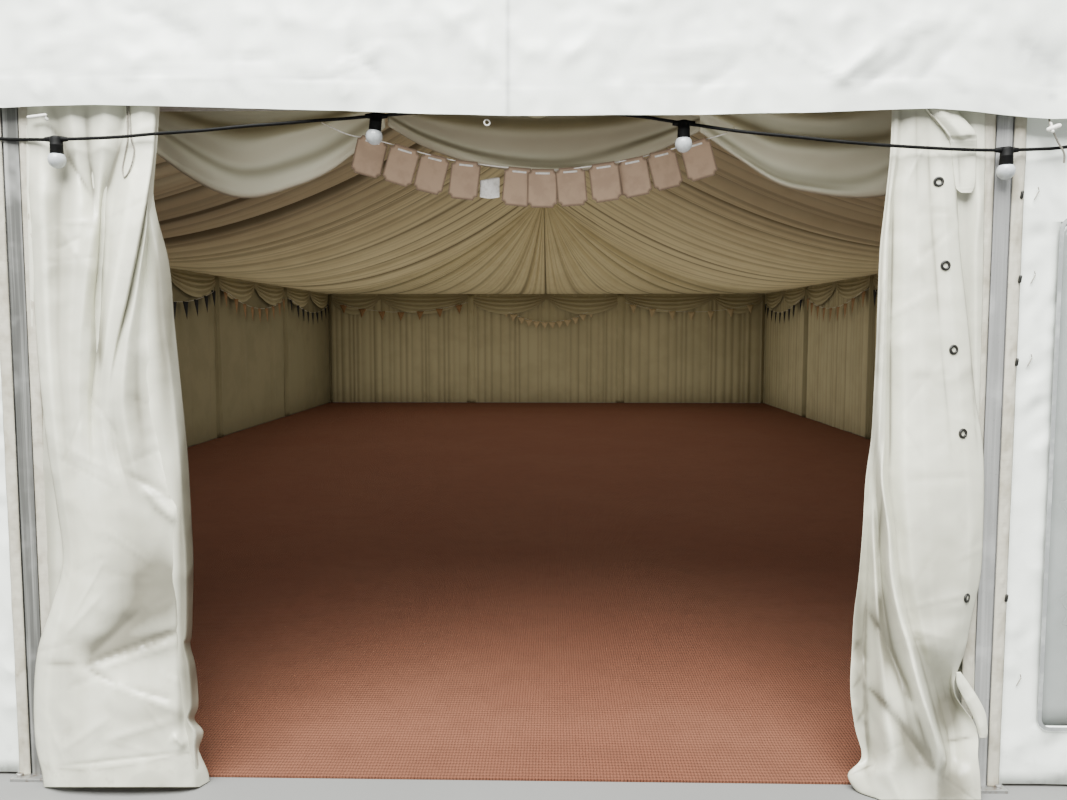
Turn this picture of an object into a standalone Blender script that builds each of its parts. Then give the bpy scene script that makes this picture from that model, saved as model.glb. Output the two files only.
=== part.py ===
"""A clear-span marquee tent, nine metres by fifteen.

Aluminium portal frames carry white PVC covers. Inside are a cloth lining and a fibre matting floor.
The doorway is the middle bay of the front gable, and its two door sheets are pulled aside.

X runs across the tent, to the right seen from the front. Y runs into the tent and Z is up.
The origin is on the ground at the middle of the tent. All lengths are in metres.
"""
import math

import bmesh
import bpy
from mathutils import Vector

# Plan and heights
TENT_WIDTH = 9.0
BAY_LENGTH = 3.0
BAYS = 5
DOOR_BAY_WIDTH = 3.0
EAVE = 2.30
PITCH = math.radians(18.5)

# Aluminium profile of the legs, rafters and gable posts
PROFILE_W = 0.068
PROFILE_D = 0.100

# Feet
PLATE = 0.160
PLATE_T = 0.010

# Beams between the frames
BEAM_W = 0.060
BEAM_H = 0.080
BEAM_SEAT = 0.018
BRACKET = 0.006
RIDGE_H = 0.070

# PVC covers, which lie a little below the profile's outer face
SHEET = 0.003
INSET = 0.012
FILM = 0.001
HEM_DROP = 0.040

# Windows of the front walls
WINDOW_MARGIN = 0.156
WINDOW_SILL = 0.20
WINDOW_HEAD = 1.77
WINDOW_RADIUS = 0.028
WELD = 0.020

# Lining and floor
LINING = 0.004
ROOF_SAG = 0.45
END_SAG = 0.30
PELMET_DROP = 0.020
FAN_ROWS = 2
FAN_COLUMNS = 4
SAG_STEPS = 8
MATTING = 0.008
DOOR_LIP = 0.014

# Door sheets, gathered to the posts. Each level has its share of the height, then the sheet's width,
# and how far its front and back lie from the posts' face, with a minus in front of it.
DOOR_FOLD = 0.012
DOOR_FOLDS = 3
DOOR_POINTS = 12
DOOR_BACK = 0.059
DOOR_FACE = 0.002
DOOR_LEVELS = {
    "left": [
        (0.88, 0.416, -0.018, 0.065),
        (0.56, 0.476, -0.070, 0.080),
        (0.21, 0.546, -0.090, 0.090),
        (0.00, 0.576, -0.110, 0.085),
    ],
    "right": [
        (0.88, 0.316, -0.018, 0.065),
        (0.56, 0.336, -0.070, 0.080),
        (0.21, 0.396, -0.100, 0.090),
        (0.00, 0.386, -0.120, 0.085),
    ],
}
DOOR_TOP_WIDTH = {"left": 0.406, "right": 0.306}

# Festoon lights
CABLE = 0.010
CABLE_STEP = 0.048
HOLDER_R = 0.018
HOLDER_TOP_R = 0.0126
HOLDER_TOP = 0.0125
HOLDER_FOOT = -0.0375
BULB_R = 0.025
BULB_STEPS = 6
BULB_START = math.radians(45)
LAMP_SIDES = 12

# Room left between pieces that touch
GAP = 0.0003

# Worked out from the sizes above
SLOPE = math.tan(PITCH)
SKEW = math.cos(PITCH)
LENGTH = BAY_LENGTH * BAYS
HALF = TENT_WIDTH / 2
LEG_IN = HALF - PROFILE_D
FRAME_Y = [BAY_LENGTH * k - LENGTH / 2 for k in range(BAYS + 1)]
FRONT = LENGTH / 2 + PROFILE_W / 2
POST_X = DOOR_BAY_WIDTH / 2
BEAM_IN = LEG_IN - GAP - BRACKET
GABLE_BEAM_IN = FRONT - PROFILE_D - GAP - BRACKET
WALL_FOOT = PLATE_T + GAP
HALF_PROFILE = PROFILE_W / 2
KNEE_IN = EAVE + PROFILE_D * SLOPE - PROFILE_D / SKEW
BEAM_TOP = KNEE_IN - BEAM_SEAT
BEAM_FOOT = BEAM_TOP - BEAM_H
HEM_HEIGHT = BEAM_FOOT - HEM_DROP
PELMET_LINE = BEAM_TOP - PELMET_DROP
SIDES = {"left": -1, "right": 1}
ENDS = {"front": -1, "back": 1}


def roof_line(x, depth=0.0):
    """Height of a line that lies depth below the rafters' top face, at x."""
    return EAVE + (HALF - abs(x)) * SLOPE - depth / SKEW


def knee(depth):
    """Height of the mitre between leg and rafter, depth in from the outer face."""
    return roof_line(HALF - depth, depth)


def paint(name, colour, roughness, metallic=0.0, alpha=1.0):
    """A material with the piece's colour and gloss."""
    material = bpy.data.materials.new(name)
    material.use_nodes = True
    shader = material.node_tree.nodes["Principled BSDF"]
    shader.inputs["Base Color"].default_value = (*colour, 1.0)
    shader.inputs["Roughness"].default_value = roughness
    shader.inputs["Metallic"].default_value = metallic
    shader.inputs["Alpha"].default_value = alpha
    return material


FINISHES = {
    "aluminium": ((0.55, 0.57, 0.58), 0.45, 0.9, 1.0),
    "pvc": ((0.86, 0.87, 0.85), 0.45, 0.0, 1.0),
    "window": ((0.80, 0.84, 0.85), 0.10, 0.0, 0.35),
    "lining": ((0.80, 0.75, 0.62), 0.80, 0.0, 1.0),
    "matting": ((0.50, 0.24, 0.17), 0.90, 0.0, 1.0),
    "cable": ((0.03, 0.03, 0.03), 0.50, 0.0, 1.0),
}


def add(name, bm, finish):
    """The finished object of a piece, with its faces turned out."""
    bmesh.ops.recalc_face_normals(bm, faces=bm.faces)
    mesh = bpy.data.meshes.new(name)
    bm.to_mesh(mesh)
    bm.free()
    piece = bpy.data.objects.new(name, mesh)
    piece.data.materials.append(paint(name, *FINISHES[finish]))
    bpy.context.scene.collection.objects.link(piece)
    return piece


def sweep(rings):
    """A closed solid through rings that all have as many points."""
    bm = bmesh.new()
    verts = [bm.verts.new(point) for point in rings[0]]
    face = bm.faces.new(verts)
    for level, ring in enumerate(rings[1:]):
        made = bmesh.ops.extrude_face_region(bm, geom=[face])["geom"]
        if level:
            bmesh.ops.delete(bm, geom=[face], context="FACES_ONLY")
        face = next(g for g in made if isinstance(g, bmesh.types.BMFace))
        ends = {tuple(v.co): v for v in face.verts}
        verts = [ends[tuple(v.co)] for v in verts]
        for v, point in zip(verts, ring):
            v.co = point
    return bm


def prism(outline, axis, low, high):
    """A flat outline drawn out along an axis. Its two coordinates are the other axes, in order."""

    def ring(level):
        points = []
        for a, b in outline:
            coords = [a, b]
            coords.insert("XYZ".index(axis), level)
            points.append(Vector(coords))
        return points

    return sweep([ring(low), ring(high)])


def box(x, y, z):
    """A box from its three pairs of limits."""
    return prism([(x[0], y[0]), (x[1], y[0]), (x[1], y[1]), (x[0], y[1])], "Z", z[0], z[1])


def square(x, y, across, along):
    """Corners of a rectangle about a point in plan."""
    return [
        (x - across / 2, y - along / 2),
        (x + across / 2, y - along / 2),
        (x + across / 2, y + along / 2),
        (x - across / 2, y + along / 2),
    ]


def comb(low, high, back, notch, front, stations):
    """Outline of a beam that runs past its supports: whole at the back, notched from the front at each."""
    outline = [(low, back), (high, back), (high, front)]
    for centre in sorted(stations, reverse=True):
        for side in (1, -1):
            edge = centre + side * (HALF_PROFILE + GAP)
            outline += [(edge, front), (edge, notch)][::side]
    outline.append((low, front))
    return outline


def foot(x, y):
    """Rings of a base plate, up to where the upright stands on it."""
    plate = square(x, y, PLATE, PLATE)
    return [[Vector((*p, z)) for p in plate] for z in (0.0, PLATE_T)]


def legs():
    """Side legs with their base plates, mitred to the rafters at the top."""
    across = HALF - PROFILE_D / 2
    clear = GAP / math.cos(math.atan2(EAVE - knee(PROFILE_D), PROFILE_D))
    for side, s in SIDES.items():
        for k, y in enumerate(FRAME_Y, 1):
            rings = foot(s * across, y)
            plan = square(s * across, y, PROFILE_D, PROFILE_W)
            rings.append([Vector((*p, PLATE_T)) for p in plan])
            rings.append([Vector((*p, knee(HALF - abs(p[0])) - clear)) for p in plan])
            add(f"leg_{side}_{k}", sweep(rings), "aluminium")


def rafters():
    """One pair of rafters for each frame, joined at the ridge."""
    section = [(-HALF_PROFILE, 0.0), (HALF_PROFILE, 0.0)]
    section += [(u, PROFILE_D) for u, _ in reversed(section)]
    for k, y in enumerate(FRAME_Y, 1):
        rings = []
        for s in (-1, 0, 1):
            if s:
                rings.append([Vector((s * (HALF - depth), y + u, knee(depth))) for u, depth in section])
            else:
                rings.append([Vector((0.0, y + u, roof_line(0.0, depth))) for u, depth in section])
        add(f"rafters_{k}", sweep(rings), "aluminium")


def beams():
    """Eave beams along the sides, gable beams across the ends, and the ridge beam."""
    reach = LENGTH / 2 - HALF_PROFILE - GAP
    for side, s in SIDES.items():
        plan = comb(-reach, reach, BEAM_IN, LEG_IN - GAP, LEG_IN + BEAM_W, FRAME_Y[1:-1])
        add(f"eave_beam_{side}", prism([(s * x, y) for y, x in plan], "Z", BEAM_FOOT, BEAM_TOP), "aluminium")
    across = BEAM_IN - GAP
    for end, e in ENDS.items():
        notch = FRONT - PROFILE_D - GAP
        plan = comb(-across, across, GABLE_BEAM_IN, notch, FRONT - HALF_PROFILE, (-POST_X, POST_X))
        add(f"gable_beam_{end}", prism([(x, e * y) for x, y in plan], "Z", BEAM_FOOT, BEAM_TOP), "aluminium")
    pass_under = roof_line(BEAM_W / 2, PROFILE_D) - GAP
    side_view = comb(-reach, reach, pass_under - BRACKET, pass_under, pass_under + RIDGE_H, FRAME_Y[1:-1])
    add("ridge_beam", prism(side_view, "X", -BEAM_W / 2, BEAM_W / 2), "aluminium")
    return pass_under - BRACKET


def gable_posts():
    """Two posts in each gable, up to the underside of the end rafters."""
    for end, e in ENDS.items():
        depth_centre = e * (FRONT - PROFILE_D / 2)
        for side, s in SIDES.items():
            rings = foot(s * POST_X, depth_centre)
            plan = square(s * POST_X, depth_centre, PROFILE_W, PROFILE_D)
            rings.append([Vector((*p, PLATE_T)) for p in plan])
            rings.append([Vector((*p, roof_line(p[0], PROFILE_D) - GAP / SKEW)) for p in plan])
            add(f"gable_post_{end}_{side}", sweep(rings), "aluminium")


def roof_covers():
    """One PVC sheet for each bay, over the ridge and down over the eaves as a valance."""
    outer = [(-HALF, HEM_HEIGHT), (-HALF, roof_line(HALF, INSET)), (0.0, roof_line(0.0, INSET))]
    outer += [(-x, z) for x, z in reversed(outer[:2])]
    below = INSET + SHEET
    inside = HALF - SHEET
    inner = [(-inside, HEM_HEIGHT), (-inside, roof_line(inside, below)), (0.0, roof_line(0.0, below))]
    inner += [(-x, z) for x, z in reversed(inner[:2])]
    for k, (low, high) in enumerate(zip(FRAME_Y, FRAME_Y[1:]), 1):
        cover = prism(outer + inner[::-1], "Y", low + HALF_PROFILE + GAP, high - HALF_PROFILE - GAP)
        add(f"roof_cover_{k}", cover, "pvc")


def side_walls():
    """One wall sheet for each bay of each side, between the legs."""
    face = HALF - INSET
    for side, s in SIDES.items():
        for k, (low, high) in enumerate(zip(FRAME_Y, FRAME_Y[1:]), 1):
            limits = (low + HALF_PROFILE + GAP, high - HALF_PROFILE - GAP)
            wall = box((s * (face - SHEET), s * face), limits, (WALL_FOOT, BEAM_TOP))
            add(f"side_wall_{side}_{k}", wall, "pvc")


def gable_sheets():
    """The triangle of each gable, hung outside the posts, down to a straight hem."""
    outline = [(-HALF, HEM_HEIGHT), (HALF, HEM_HEIGHT), (HALF, roof_line(HALF, INSET))]
    outline += [(0.0, roof_line(0.0, INSET)), (-HALF, roof_line(HALF, INSET))]
    for end, e in ENDS.items():
        near = FRONT + GAP
        add(f"gable_sheet_{end}", prism(outline, "Y", e * near, e * (near + SHEET)), "pvc")


def rounded(x, z, radius):
    """Outline of a rectangle with round corners."""
    outline = []
    steps = 6
    corners = [(x[1], z[1], 0), (x[0], z[1], 1), (x[0], z[0], 2), (x[1], z[0], 3)]
    for cx, cz, quarter in corners:
        ox = cx - math.copysign(radius, cx - sum(x) / 2)
        oz = cz - math.copysign(radius, cz - sum(z) / 2)
        for i in range(steps + 1):
            turn = math.pi / 2 * (quarter + i / steps)
            outline.append((ox + radius * math.cos(turn), oz + radius * math.sin(turn)))
    return outline


def gable_walls():
    """Walls beside the doorway, each with a window, and three plain walls across the back."""
    face = FRONT - INSET
    corner = LEG_IN - GAP
    beside = POST_X + HALF_PROFILE + GAP
    window = (beside + WINDOW_MARGIN, corner - WINDOW_MARGIN)
    height = (WINDOW_SILL, WINDOW_HEAD)
    for side, s in SIDES.items():
        across = (s * beside, s * corner)
        upright = (WALL_FOOT, BEAM_TOP)
        wall = add(f"front_wall_{side}", box(across, (-face, SHEET - face), upright), "pvc")
        hole = [(s * x, z) for x, z in rounded(window, height, WINDOW_RADIUS)]
        cutter = add(f"window_cutter_{side}", prism(hole, "Y", -face - INSET, INSET - face), "window")
        cutter.hide_render = True
        cutter.display_type = "WIRE"
        cut = wall.modifiers.new("window", "BOOLEAN")
        cut.operation = "DIFFERENCE"
        cut.solver = "EXACT"
        cut.object = cutter
        wide = (window[0] - WELD, window[1] + WELD)
        tall = (height[0] - WELD, height[1] + WELD)
        pane = [(s * x, z) for x, z in rounded(wide, tall, WINDOW_RADIUS + WELD)]
        behind = SHEET + GAP - face
        add(f"front_window_{side}", prism(pane, "Y", behind, behind + FILM), "window")
        add(f"back_wall_{side}", box(across, (face - SHEET, face), upright), "pvc")
    between = POST_X - HALF_PROFILE - GAP
    add("back_wall_middle", box((-between, between), (face - SHEET, face), upright), "pvc")


def door_ring(height, post_edge, door_edge, front, back):
    """Outline of a gathered door sheet at one height, with folds along its front and back."""
    points = []
    for i in range(DOOR_POINTS + 1):
        share = i / DOOR_POINTS
        wave = DOOR_FOLD * math.sin(math.pi * share) * math.sin(2 * math.pi * DOOR_FOLDS * share)
        x = post_edge + (door_edge - post_edge) * share
        points.append((x, front + DOOR_FOLD + wave, back - DOOR_FOLD + wave))
    ring = [Vector((x, y, height)) for x, y, _ in points]
    ring += [Vector((x, y, height)) for x, _, y in reversed(points)]
    return ring


def door_sheets():
    """The two door sheets, hung from the gable beam behind the hem and pulled aside to the posts."""
    post_side = POST_X - HALF_PROFILE - GAP
    for side, s in SIDES.items():
        width = DOOR_TOP_WIDTH[side]
        tops = (BEAM_FOOT - GAP, HEM_HEIGHT - HEM_DROP)
        levels = [(top, width, DOOR_FACE, DOOR_BACK) for top in tops]
        for share, width, near, far in DOOR_LEVELS[side]:
            levels.append((WALL_FOOT + (HEM_HEIGHT - WALL_FOOT) * share, width, near, far))
        rings = []
        for z, width, near, far in levels:
            rings.append(door_ring(z, s * post_side, s * (post_side - width), near - FRONT, far - FRONT))
        add(f"door_sheet_{side}", sweep(rings), "pvc")


def floor():
    """Fibre matting over the whole floor, with a tongue into the doorway."""
    side = HALF - PROFILE_D / 2 - PLATE / 2 - GAP
    end = FRONT - PROFILE_D / 2 - PLATE / 2 - GAP
    lip = FRONT - DOOR_LIP
    door = POST_X - PLATE / 2 - GAP
    outline = [(-side, -end), (-door, -end), (-door, -lip), (door, -lip), (door, -end), (side, -end)]
    outline += [(side, end), (-side, end)]
    add("floor_matting", prism(outline, "Z", 0.0, MATTING), "matting")


def wall_lining():
    """Cloth inside the two side walls and the back wall, in one run."""
    side = BEAM_IN - GAP
    end = GABLE_BEAM_IN - GAP
    inner = side - LINING
    outline = [(side, -end), (side, end), (-side, end), (-side, -end)]
    outline += [(-inner, -end), (-inner, end - LINING), (inner, end - LINING), (inner, -end)]
    add("wall_lining", prism(outline, "Z", WALL_FOOT, PELMET_LINE), "lining")


def roof_lining(ridge):
    """Cloth ceiling in two halves: each sags from the ridge to its eave, and fans out at both ends."""
    side = BEAM_IN - GAP
    end = GABLE_BEAM_IN - GAP
    apex = end - BAY_LENGTH
    seam = GAP / 2
    top = ridge - GAP
    edge = PELMET_LINE + GAP + LINING
    rim = [(seam + (side - seam) * k / FAN_COLUMNS, end) for k in range(FAN_COLUMNS + 1)]
    rim += [(side, end - BAY_LENGTH * k / FAN_ROWS) for k in range(1, FAN_ROWS + 1)]
    rim += [(x, -y) for x, y in reversed(rim)]
    for name, s in SIDES.items():
        bm = bmesh.new()
        hubs = {e: bm.verts.new((s * seam, e * apex, top)) for e in (1, -1)}
        spokes = []
        for x, y in rim:
            e = math.copysign(1, y)
            sag = ROOF_SAG + (END_SAG - ROOF_SAG) * (abs(y) - apex) / BAY_LENGTH
            spoke = [hubs[e]]
            for k in range(1, SAG_STEPS + 1):
                t = k / SAG_STEPS
                height = top + (edge - top) * t - 4 * sag * t * (1 - t)
                place = (s * (seam + (x - seam) * t), e * (apex + (abs(y) - apex) * t), height)
                spoke.append(bm.verts.new(place))
            spokes.append(spoke)
        for a, b in zip(spokes, spokes[1:]):
            for k in range(SAG_STEPS):
                corners = [a[k], a[k + 1], b[k + 1], b[k]]
                bm.faces.new(list(dict.fromkeys(corners)))
        bmesh.ops.recalc_face_normals(bm, faces=bm.faces)
        made = bmesh.ops.extrude_face_region(bm, geom=bm.faces[:])["geom"]
        lower = [g for g in made if isinstance(g, bmesh.types.BMVert)]
        bmesh.ops.translate(bm, verts=lower, vec=(0.0, 0.0, -LINING))
        add(f"roof_lining_{name}", bm, "lining")


# Route of the festoon cable, chosen by hand: x, distance in front of the posts' face, and height
CABLE_ROUTE = [
    (-1.780, 0.0060, 2.056),
    (-1.740, 0.0060, 2.045),
    (-1.680, 0.0056, 2.034),
    (-1.600, 0.0054, 2.027),
    (-1.530, 0.0056, 2.024),
    (-1.499, 0.0060, 2.022),
    (-1.460, 0.0110, 2.020),
    (-1.424, 0.0200, 2.018),
    (-1.376, 0.0360, 2.014),
    (-1.334, 0.0450, 2.013),
    (-1.248, 0.0470, 2.014),
    (-1.140, 0.0450, 2.019),
    (-1.027, 0.0410, 2.029),
    (-0.889, 0.0360, 2.039),
    (-0.776, 0.0300, 2.051),
    (-0.662, 0.0180, 2.062),
    (-0.600, 0.0090, 2.069),
    (-0.540, -0.0020, 2.076),
    (-0.475, -0.0110, 2.082),
    (-0.425, -0.0180, 2.088),
    (-0.382, -0.0220, 2.092),
    (-0.217, -0.0200, 2.103),
    (0.026, -0.0180, 2.110),
    (0.268, -0.0200, 2.100),
    (0.419, -0.0220, 2.086),
    (0.485, -0.0220, 2.076),
    (0.551, -0.0210, 2.065),
    (0.598, -0.0120, 2.056),
    (0.661, 0.0050, 2.042),
    (0.731, 0.0240, 2.028),
    (0.866, 0.0380, 2.011),
    (1.001, 0.0440, 1.995),
    (1.137, 0.0460, 1.983),
    (1.275, 0.0420, 1.975),
    (1.369, 0.0340, 1.972),
    (1.440, 0.0300, 1.971),
    (1.493, 0.0300, 1.971),
    (1.586, 0.0200, 1.975),
    (1.660, 0.0100, 1.981),
    (1.740, 0.0072, 1.994),
    (1.840, 0.0056, 2.018),
    (1.960, 0.0065, 2.052),
]
LAMPS_AT = (-1.334, -0.382, 0.551, 1.493)


def smooth_route(points, step):
    """Points along a smooth curve through the route, about a step apart."""
    path = []
    for i in range(len(points) - 1):
        before = points[max(i - 1, 0)]
        start, stop = points[i], points[i + 1]
        after = points[min(i + 2, len(points) - 1)]
        count = max(1, round((stop - start).length / step))
        for k in range(count):
            t = k / count
            a = 2 * start
            b = (stop - before) * t
            c = (2 * before - 5 * start + 4 * stop - after) * t * t
            d = (3 * start - before - 3 * stop + after) * t * t * t
            path.append((a + b + c + d) / 2)
    path.append(points[-1])
    return path


def lamp(at):
    """A lampholder and its globe bulb, hung on the cable: a turned solid."""
    profile = [(0.0, HOLDER_TOP), (HOLDER_TOP_R, HOLDER_TOP), (HOLDER_R, 0.0), (HOLDER_R, HOLDER_FOOT)]
    centre = HOLDER_FOOT - BULB_R * math.cos(BULB_START)
    for k in range(1, BULB_STEPS):
        turn = BULB_START + (math.pi - BULB_START) * k / BULB_STEPS
        profile.append((BULB_R * math.sin(turn), centre + BULB_R * math.cos(turn)))
    profile.append((0.0, centre - BULB_R))
    bm = bmesh.new()
    verts = [bm.verts.new((x, 0.0, z)) for x, z in profile]
    edges = [bm.edges.new(pair) for pair in zip(verts, verts[1:])]
    bmesh.ops.spin(
        bm,
        geom=verts + edges,
        cent=(0, 0, 0),
        axis=(0, 0, 1),
        angle=2 * math.pi,
        steps=LAMP_SIDES,
        use_merge=True,
    )
    bmesh.ops.remove_doubles(bm, verts=bm.verts, dist=1e-5)
    bmesh.ops.translate(bm, verts=bm.verts, vec=at)
    return bm


def festoon():
    """A string of lights along the front of the doorway: a cable with four lampholders moulded on."""
    route = [Vector((x, -FRONT - ahead, z)) for x, ahead, z in CABLE_ROUTE]
    path = smooth_route(route, CABLE_STEP)
    curve = bpy.data.curves.new("festoon_route", "CURVE")
    curve.dimensions = "3D"
    curve.bevel_depth = CABLE / 2
    curve.bevel_resolution = 2
    curve.use_fill_caps = True
    spline = curve.splines.new("POLY")
    spline.points.add(len(path) - 1)
    for point, place in zip(spline.points, path):
        point.co = (*place, 1.0)
    guide = bpy.data.objects.new("festoon_route", curve)
    bpy.context.scene.collection.objects.link(guide)
    bpy.context.view_layer.update()
    tube = bmesh.new()
    tube.from_mesh(guide.to_mesh())
    guide.to_mesh_clear()
    bpy.data.objects.remove(guide)
    bmesh.ops.remove_doubles(tube, verts=tube.verts, dist=1e-5)
    string = add("festoon_lights", tube, "cable")
    for k, x in enumerate(LAMPS_AT, 1):
        at = min(path, key=lambda p: abs(p.x - x))
        holder = add(f"lamp_{k}", lamp(at), "cable")
        holder.hide_render = True
        holder.display_type = "WIRE"
        join = string.modifiers.new(f"lamp_{k}", "BOOLEAN")
        join.operation = "UNION"
        join.solver = "EXACT"
        join.object = holder


def build():
    """The whole marquee."""
    for old in list(bpy.data.objects):
        bpy.data.objects.remove(old)
    legs()
    rafters()
    ridge = beams()
    gable_posts()
    roof_covers()
    side_walls()
    gable_sheets()
    gable_walls()
    door_sheets()
    floor()
    wall_lining()
    roof_lining(ridge)
    festoon()


build()
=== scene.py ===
"""The looks of a marquee tent: covers, door sheets, lining, lights and decorations.

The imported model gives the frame, in metres: seen from the front, X runs to the right, Y into the tent and
Z up. Places that are given in pixels belong to a 1067 by 800 frame seen by the camera below.
"""
import math
import random

import bmesh
import bpy
import numpy as np
from mathutils import Matrix, Vector, noise


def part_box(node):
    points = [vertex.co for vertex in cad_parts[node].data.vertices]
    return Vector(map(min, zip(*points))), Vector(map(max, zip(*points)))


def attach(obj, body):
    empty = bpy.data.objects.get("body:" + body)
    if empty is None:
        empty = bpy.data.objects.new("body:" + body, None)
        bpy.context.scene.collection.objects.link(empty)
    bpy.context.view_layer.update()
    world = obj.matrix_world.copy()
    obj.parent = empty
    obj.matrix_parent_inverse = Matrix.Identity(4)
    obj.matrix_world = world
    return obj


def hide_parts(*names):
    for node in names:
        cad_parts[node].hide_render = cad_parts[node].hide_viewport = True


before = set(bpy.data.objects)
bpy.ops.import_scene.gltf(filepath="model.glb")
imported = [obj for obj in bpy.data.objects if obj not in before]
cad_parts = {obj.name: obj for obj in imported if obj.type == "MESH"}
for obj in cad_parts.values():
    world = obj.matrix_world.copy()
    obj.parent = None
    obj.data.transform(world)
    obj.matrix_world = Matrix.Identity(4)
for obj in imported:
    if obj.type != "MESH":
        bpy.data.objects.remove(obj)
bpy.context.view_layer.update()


def low(node):
    """Lowest corner of a node of the frame."""
    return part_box(node)[0]


def high(node):
    """Highest corner of a node of the frame."""
    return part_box(node)[1]


FRAMES = 6
BAYS = FRAMES - 1
GAP = 0.0003

# Sizes read from the frame
HALF = high("roof_cover_1")[0]
RIDGE = high("rafters_1")[2]
EAVE = high("leg_left_1")[2]
SLOPE = (RIDGE - EAVE) / HALF
SKEW = math.cos(math.atan(SLOPE))
FRAME_Y = [(low(f"leg_left_{k}")[1] + high(f"leg_left_{k}")[1]) / 2 for k in range(1, FRAMES + 1)]
BAY = FRAME_Y[1] - FRAME_Y[0]
PROFILE_W = high("rafters_1")[1] - low("rafters_1")[1]
FRONT = -high("gable_sheet_front")[1] - GAP
HEM = low("gable_sheet_front")[2]
BEAM_TOP = high("eave_beam_left")[2]
WALL_FOOT = low("side_wall_left_1")[2]
SIDE_IN = high("wall_lining")[0]
END_IN = high("wall_lining")[1]
PELMET = high("wall_lining")[2]
LINING_RIDGE = high("roof_lining_left")[2]
MATTING = high("floor_matting")[2]
WALL_PLANE = high("side_wall_right_1")[0]
POST_X = (low("gable_post_front_right")[0] + high("gable_post_front_right")[0]) / 2
PLATE_T = WALL_FOOT - GAP
PROFILE_D = abs(high("leg_right_1")[0] + low("leg_right_1")[0] - 2 * HALF)
SIDES = {"left": -1, "right": 1}
ENDS = {"front": -1, "back": 1}

# Camera at the photograph's place
PHOTO_W, PHOTO_H = 1067, 800
SENSOR = 36.0
LENS = 29.531
CAMERA_AT = Vector((0.159, -10.224, 1.437))
CAMERA_TILT = math.radians(85.544)
CAMERA_TURN = math.radians(1.314)
FOCAL = LENS / SENSOR * PHOTO_W


def add_camera():
    """The camera, at chest height in front of the doorway."""
    data = bpy.data.cameras.new("camera")
    data.sensor_width = SENSOR
    data.lens = LENS
    camera = bpy.data.objects.new("camera", data)
    camera.location = CAMERA_AT
    camera.rotation_euler = (CAMERA_TILT, 0.0, CAMERA_TURN)
    bpy.context.scene.collection.objects.link(camera)
    bpy.context.scene.camera = camera


CAMERA_AXES = np.array(Matrix.Rotation(CAMERA_TURN, 3, "Z") @ Matrix.Rotation(CAMERA_TILT, 3, "X"))


def seen(u, v, y):
    """Points at depth y that show at pixels u, v. Takes numbers or arrays and gives rows of x, y, z."""
    u, v, y = np.broadcast_arrays(np.asarray(u, float), v, y)
    ray = np.stack([(u - PHOTO_W / 2) / FOCAL, (PHOTO_H / 2 - v) / FOCAL, -np.ones_like(u)], -1)
    ray = ray @ CAMERA_AXES.T
    reach = (y - CAMERA_AT.y) / ray[..., 1]
    return np.array(CAMERA_AT) + ray * reach[..., None]


# Node groups


def feed(tree, node, inputs):
    """Sets a node's inputs to values, or links them to sockets."""
    for key, value in inputs.items():
        if isinstance(value, bpy.types.NodeSocket):
            tree.links.new(value, node.inputs[key])
        else:
            node.inputs[key].default_value = value
    return node


def wire(tree, kind, inputs, **settings):
    """A node of a kind, with its settings and inputs."""
    made = tree.nodes.new("ShaderNode" + kind)
    for key, value in settings.items():
        setattr(made, key, value)
    return feed(tree, made, inputs)


def reckon(tree, operation, first, second=0.0):
    """The outcome of an operation on two numbers or sockets."""
    return wire(tree, "Math", {0: first, 1: second}, operation=operation).outputs[0]


def new_group(name, build, **defaults):
    """A node group that build fills, with a position and other inputs, each with its default."""
    tree = bpy.data.node_groups.new(name, "ShaderNodeTree")
    tree.interface.new_socket(name="Position", in_out="INPUT", socket_type="NodeSocketVector")
    for label, default in defaults.items():
        socket = tree.interface.new_socket(name=label, in_out="INPUT", socket_type="NodeSocketFloat")
        socket.default_value = default
    tree.interface.new_socket(name="Result", in_out="OUTPUT", socket_type="NodeSocketFloat")
    given = tree.nodes.new("NodeGroupInput")
    leave = tree.nodes.new("NodeGroupOutput")
    tree.links.new(build(tree, given.outputs), leave.inputs["Result"])
    return tree


def cloud_mask(tree, place, scale, roughness, foot, top):
    """A mask of soft noise, which rises from nothing at its foot level to full at its top level."""
    cloud = wire(tree, "TexNoise", {"Vector": place, "Scale": scale, "Detail": 3.0, "Roughness": roughness})
    levels = {"Value": cloud.outputs["Fac"], "From Min": foot, "From Max": top}
    return wire(tree, "MapRange", levels, interpolation_type="SMOOTHSTEP").outputs["Result"]


def soiling(tree, given):
    """Soft uneven dirt: a mask of noise, from a threshold up."""
    top = reckon(tree, "ADD", given["Threshold"], 0.22)
    return cloud_mask(tree, given["Position"], given["Scale"], 0.62, given["Threshold"], top)


def streaks(tree, given):
    """Marks that run down a surface: noise that is drawn out in height."""
    squeeze = wire(tree, "CombineXYZ", {0: 1.0, 1: 1.0, 2: given["Stretch"]})
    drawn = wire(tree, "VectorMath", {0: given["Position"], 1: squeeze.outputs[0]}, operation="MULTIPLY")
    return cloud_mask(tree, drawn.outputs[0], given["Scale"], 0.6, 0.42, 0.72)


def rumple(tree, given):
    """Height of creased sheet: sharp ridges between soft hollows, from broad ones to fine ones."""
    inputs = {"Vector": given["Position"], "Scale": given["Scale"], "Detail": given["Fineness"]}
    return wire(tree, "TexNoise", inputs, noise_type="RIDGED_MULTIFRACTAL", normalize=True).outputs["Fac"]


def weave(tree, given):
    """Height of a plain weave along the first two coordinates, in threads to the metre."""
    split = wire(tree, "SeparateXYZ", {0: given["Position"]})
    waves = []
    for axis, count in enumerate(("Threads", "Ribs")):
        turn = reckon(tree, "MULTIPLY", split.outputs[axis], given[count])
        wave = reckon(tree, "SINE", reckon(tree, "MULTIPLY", turn, math.pi))
        waves.append(reckon(tree, "ABSOLUTE", wave))
    return reckon(tree, "ADD", *waves)


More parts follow.
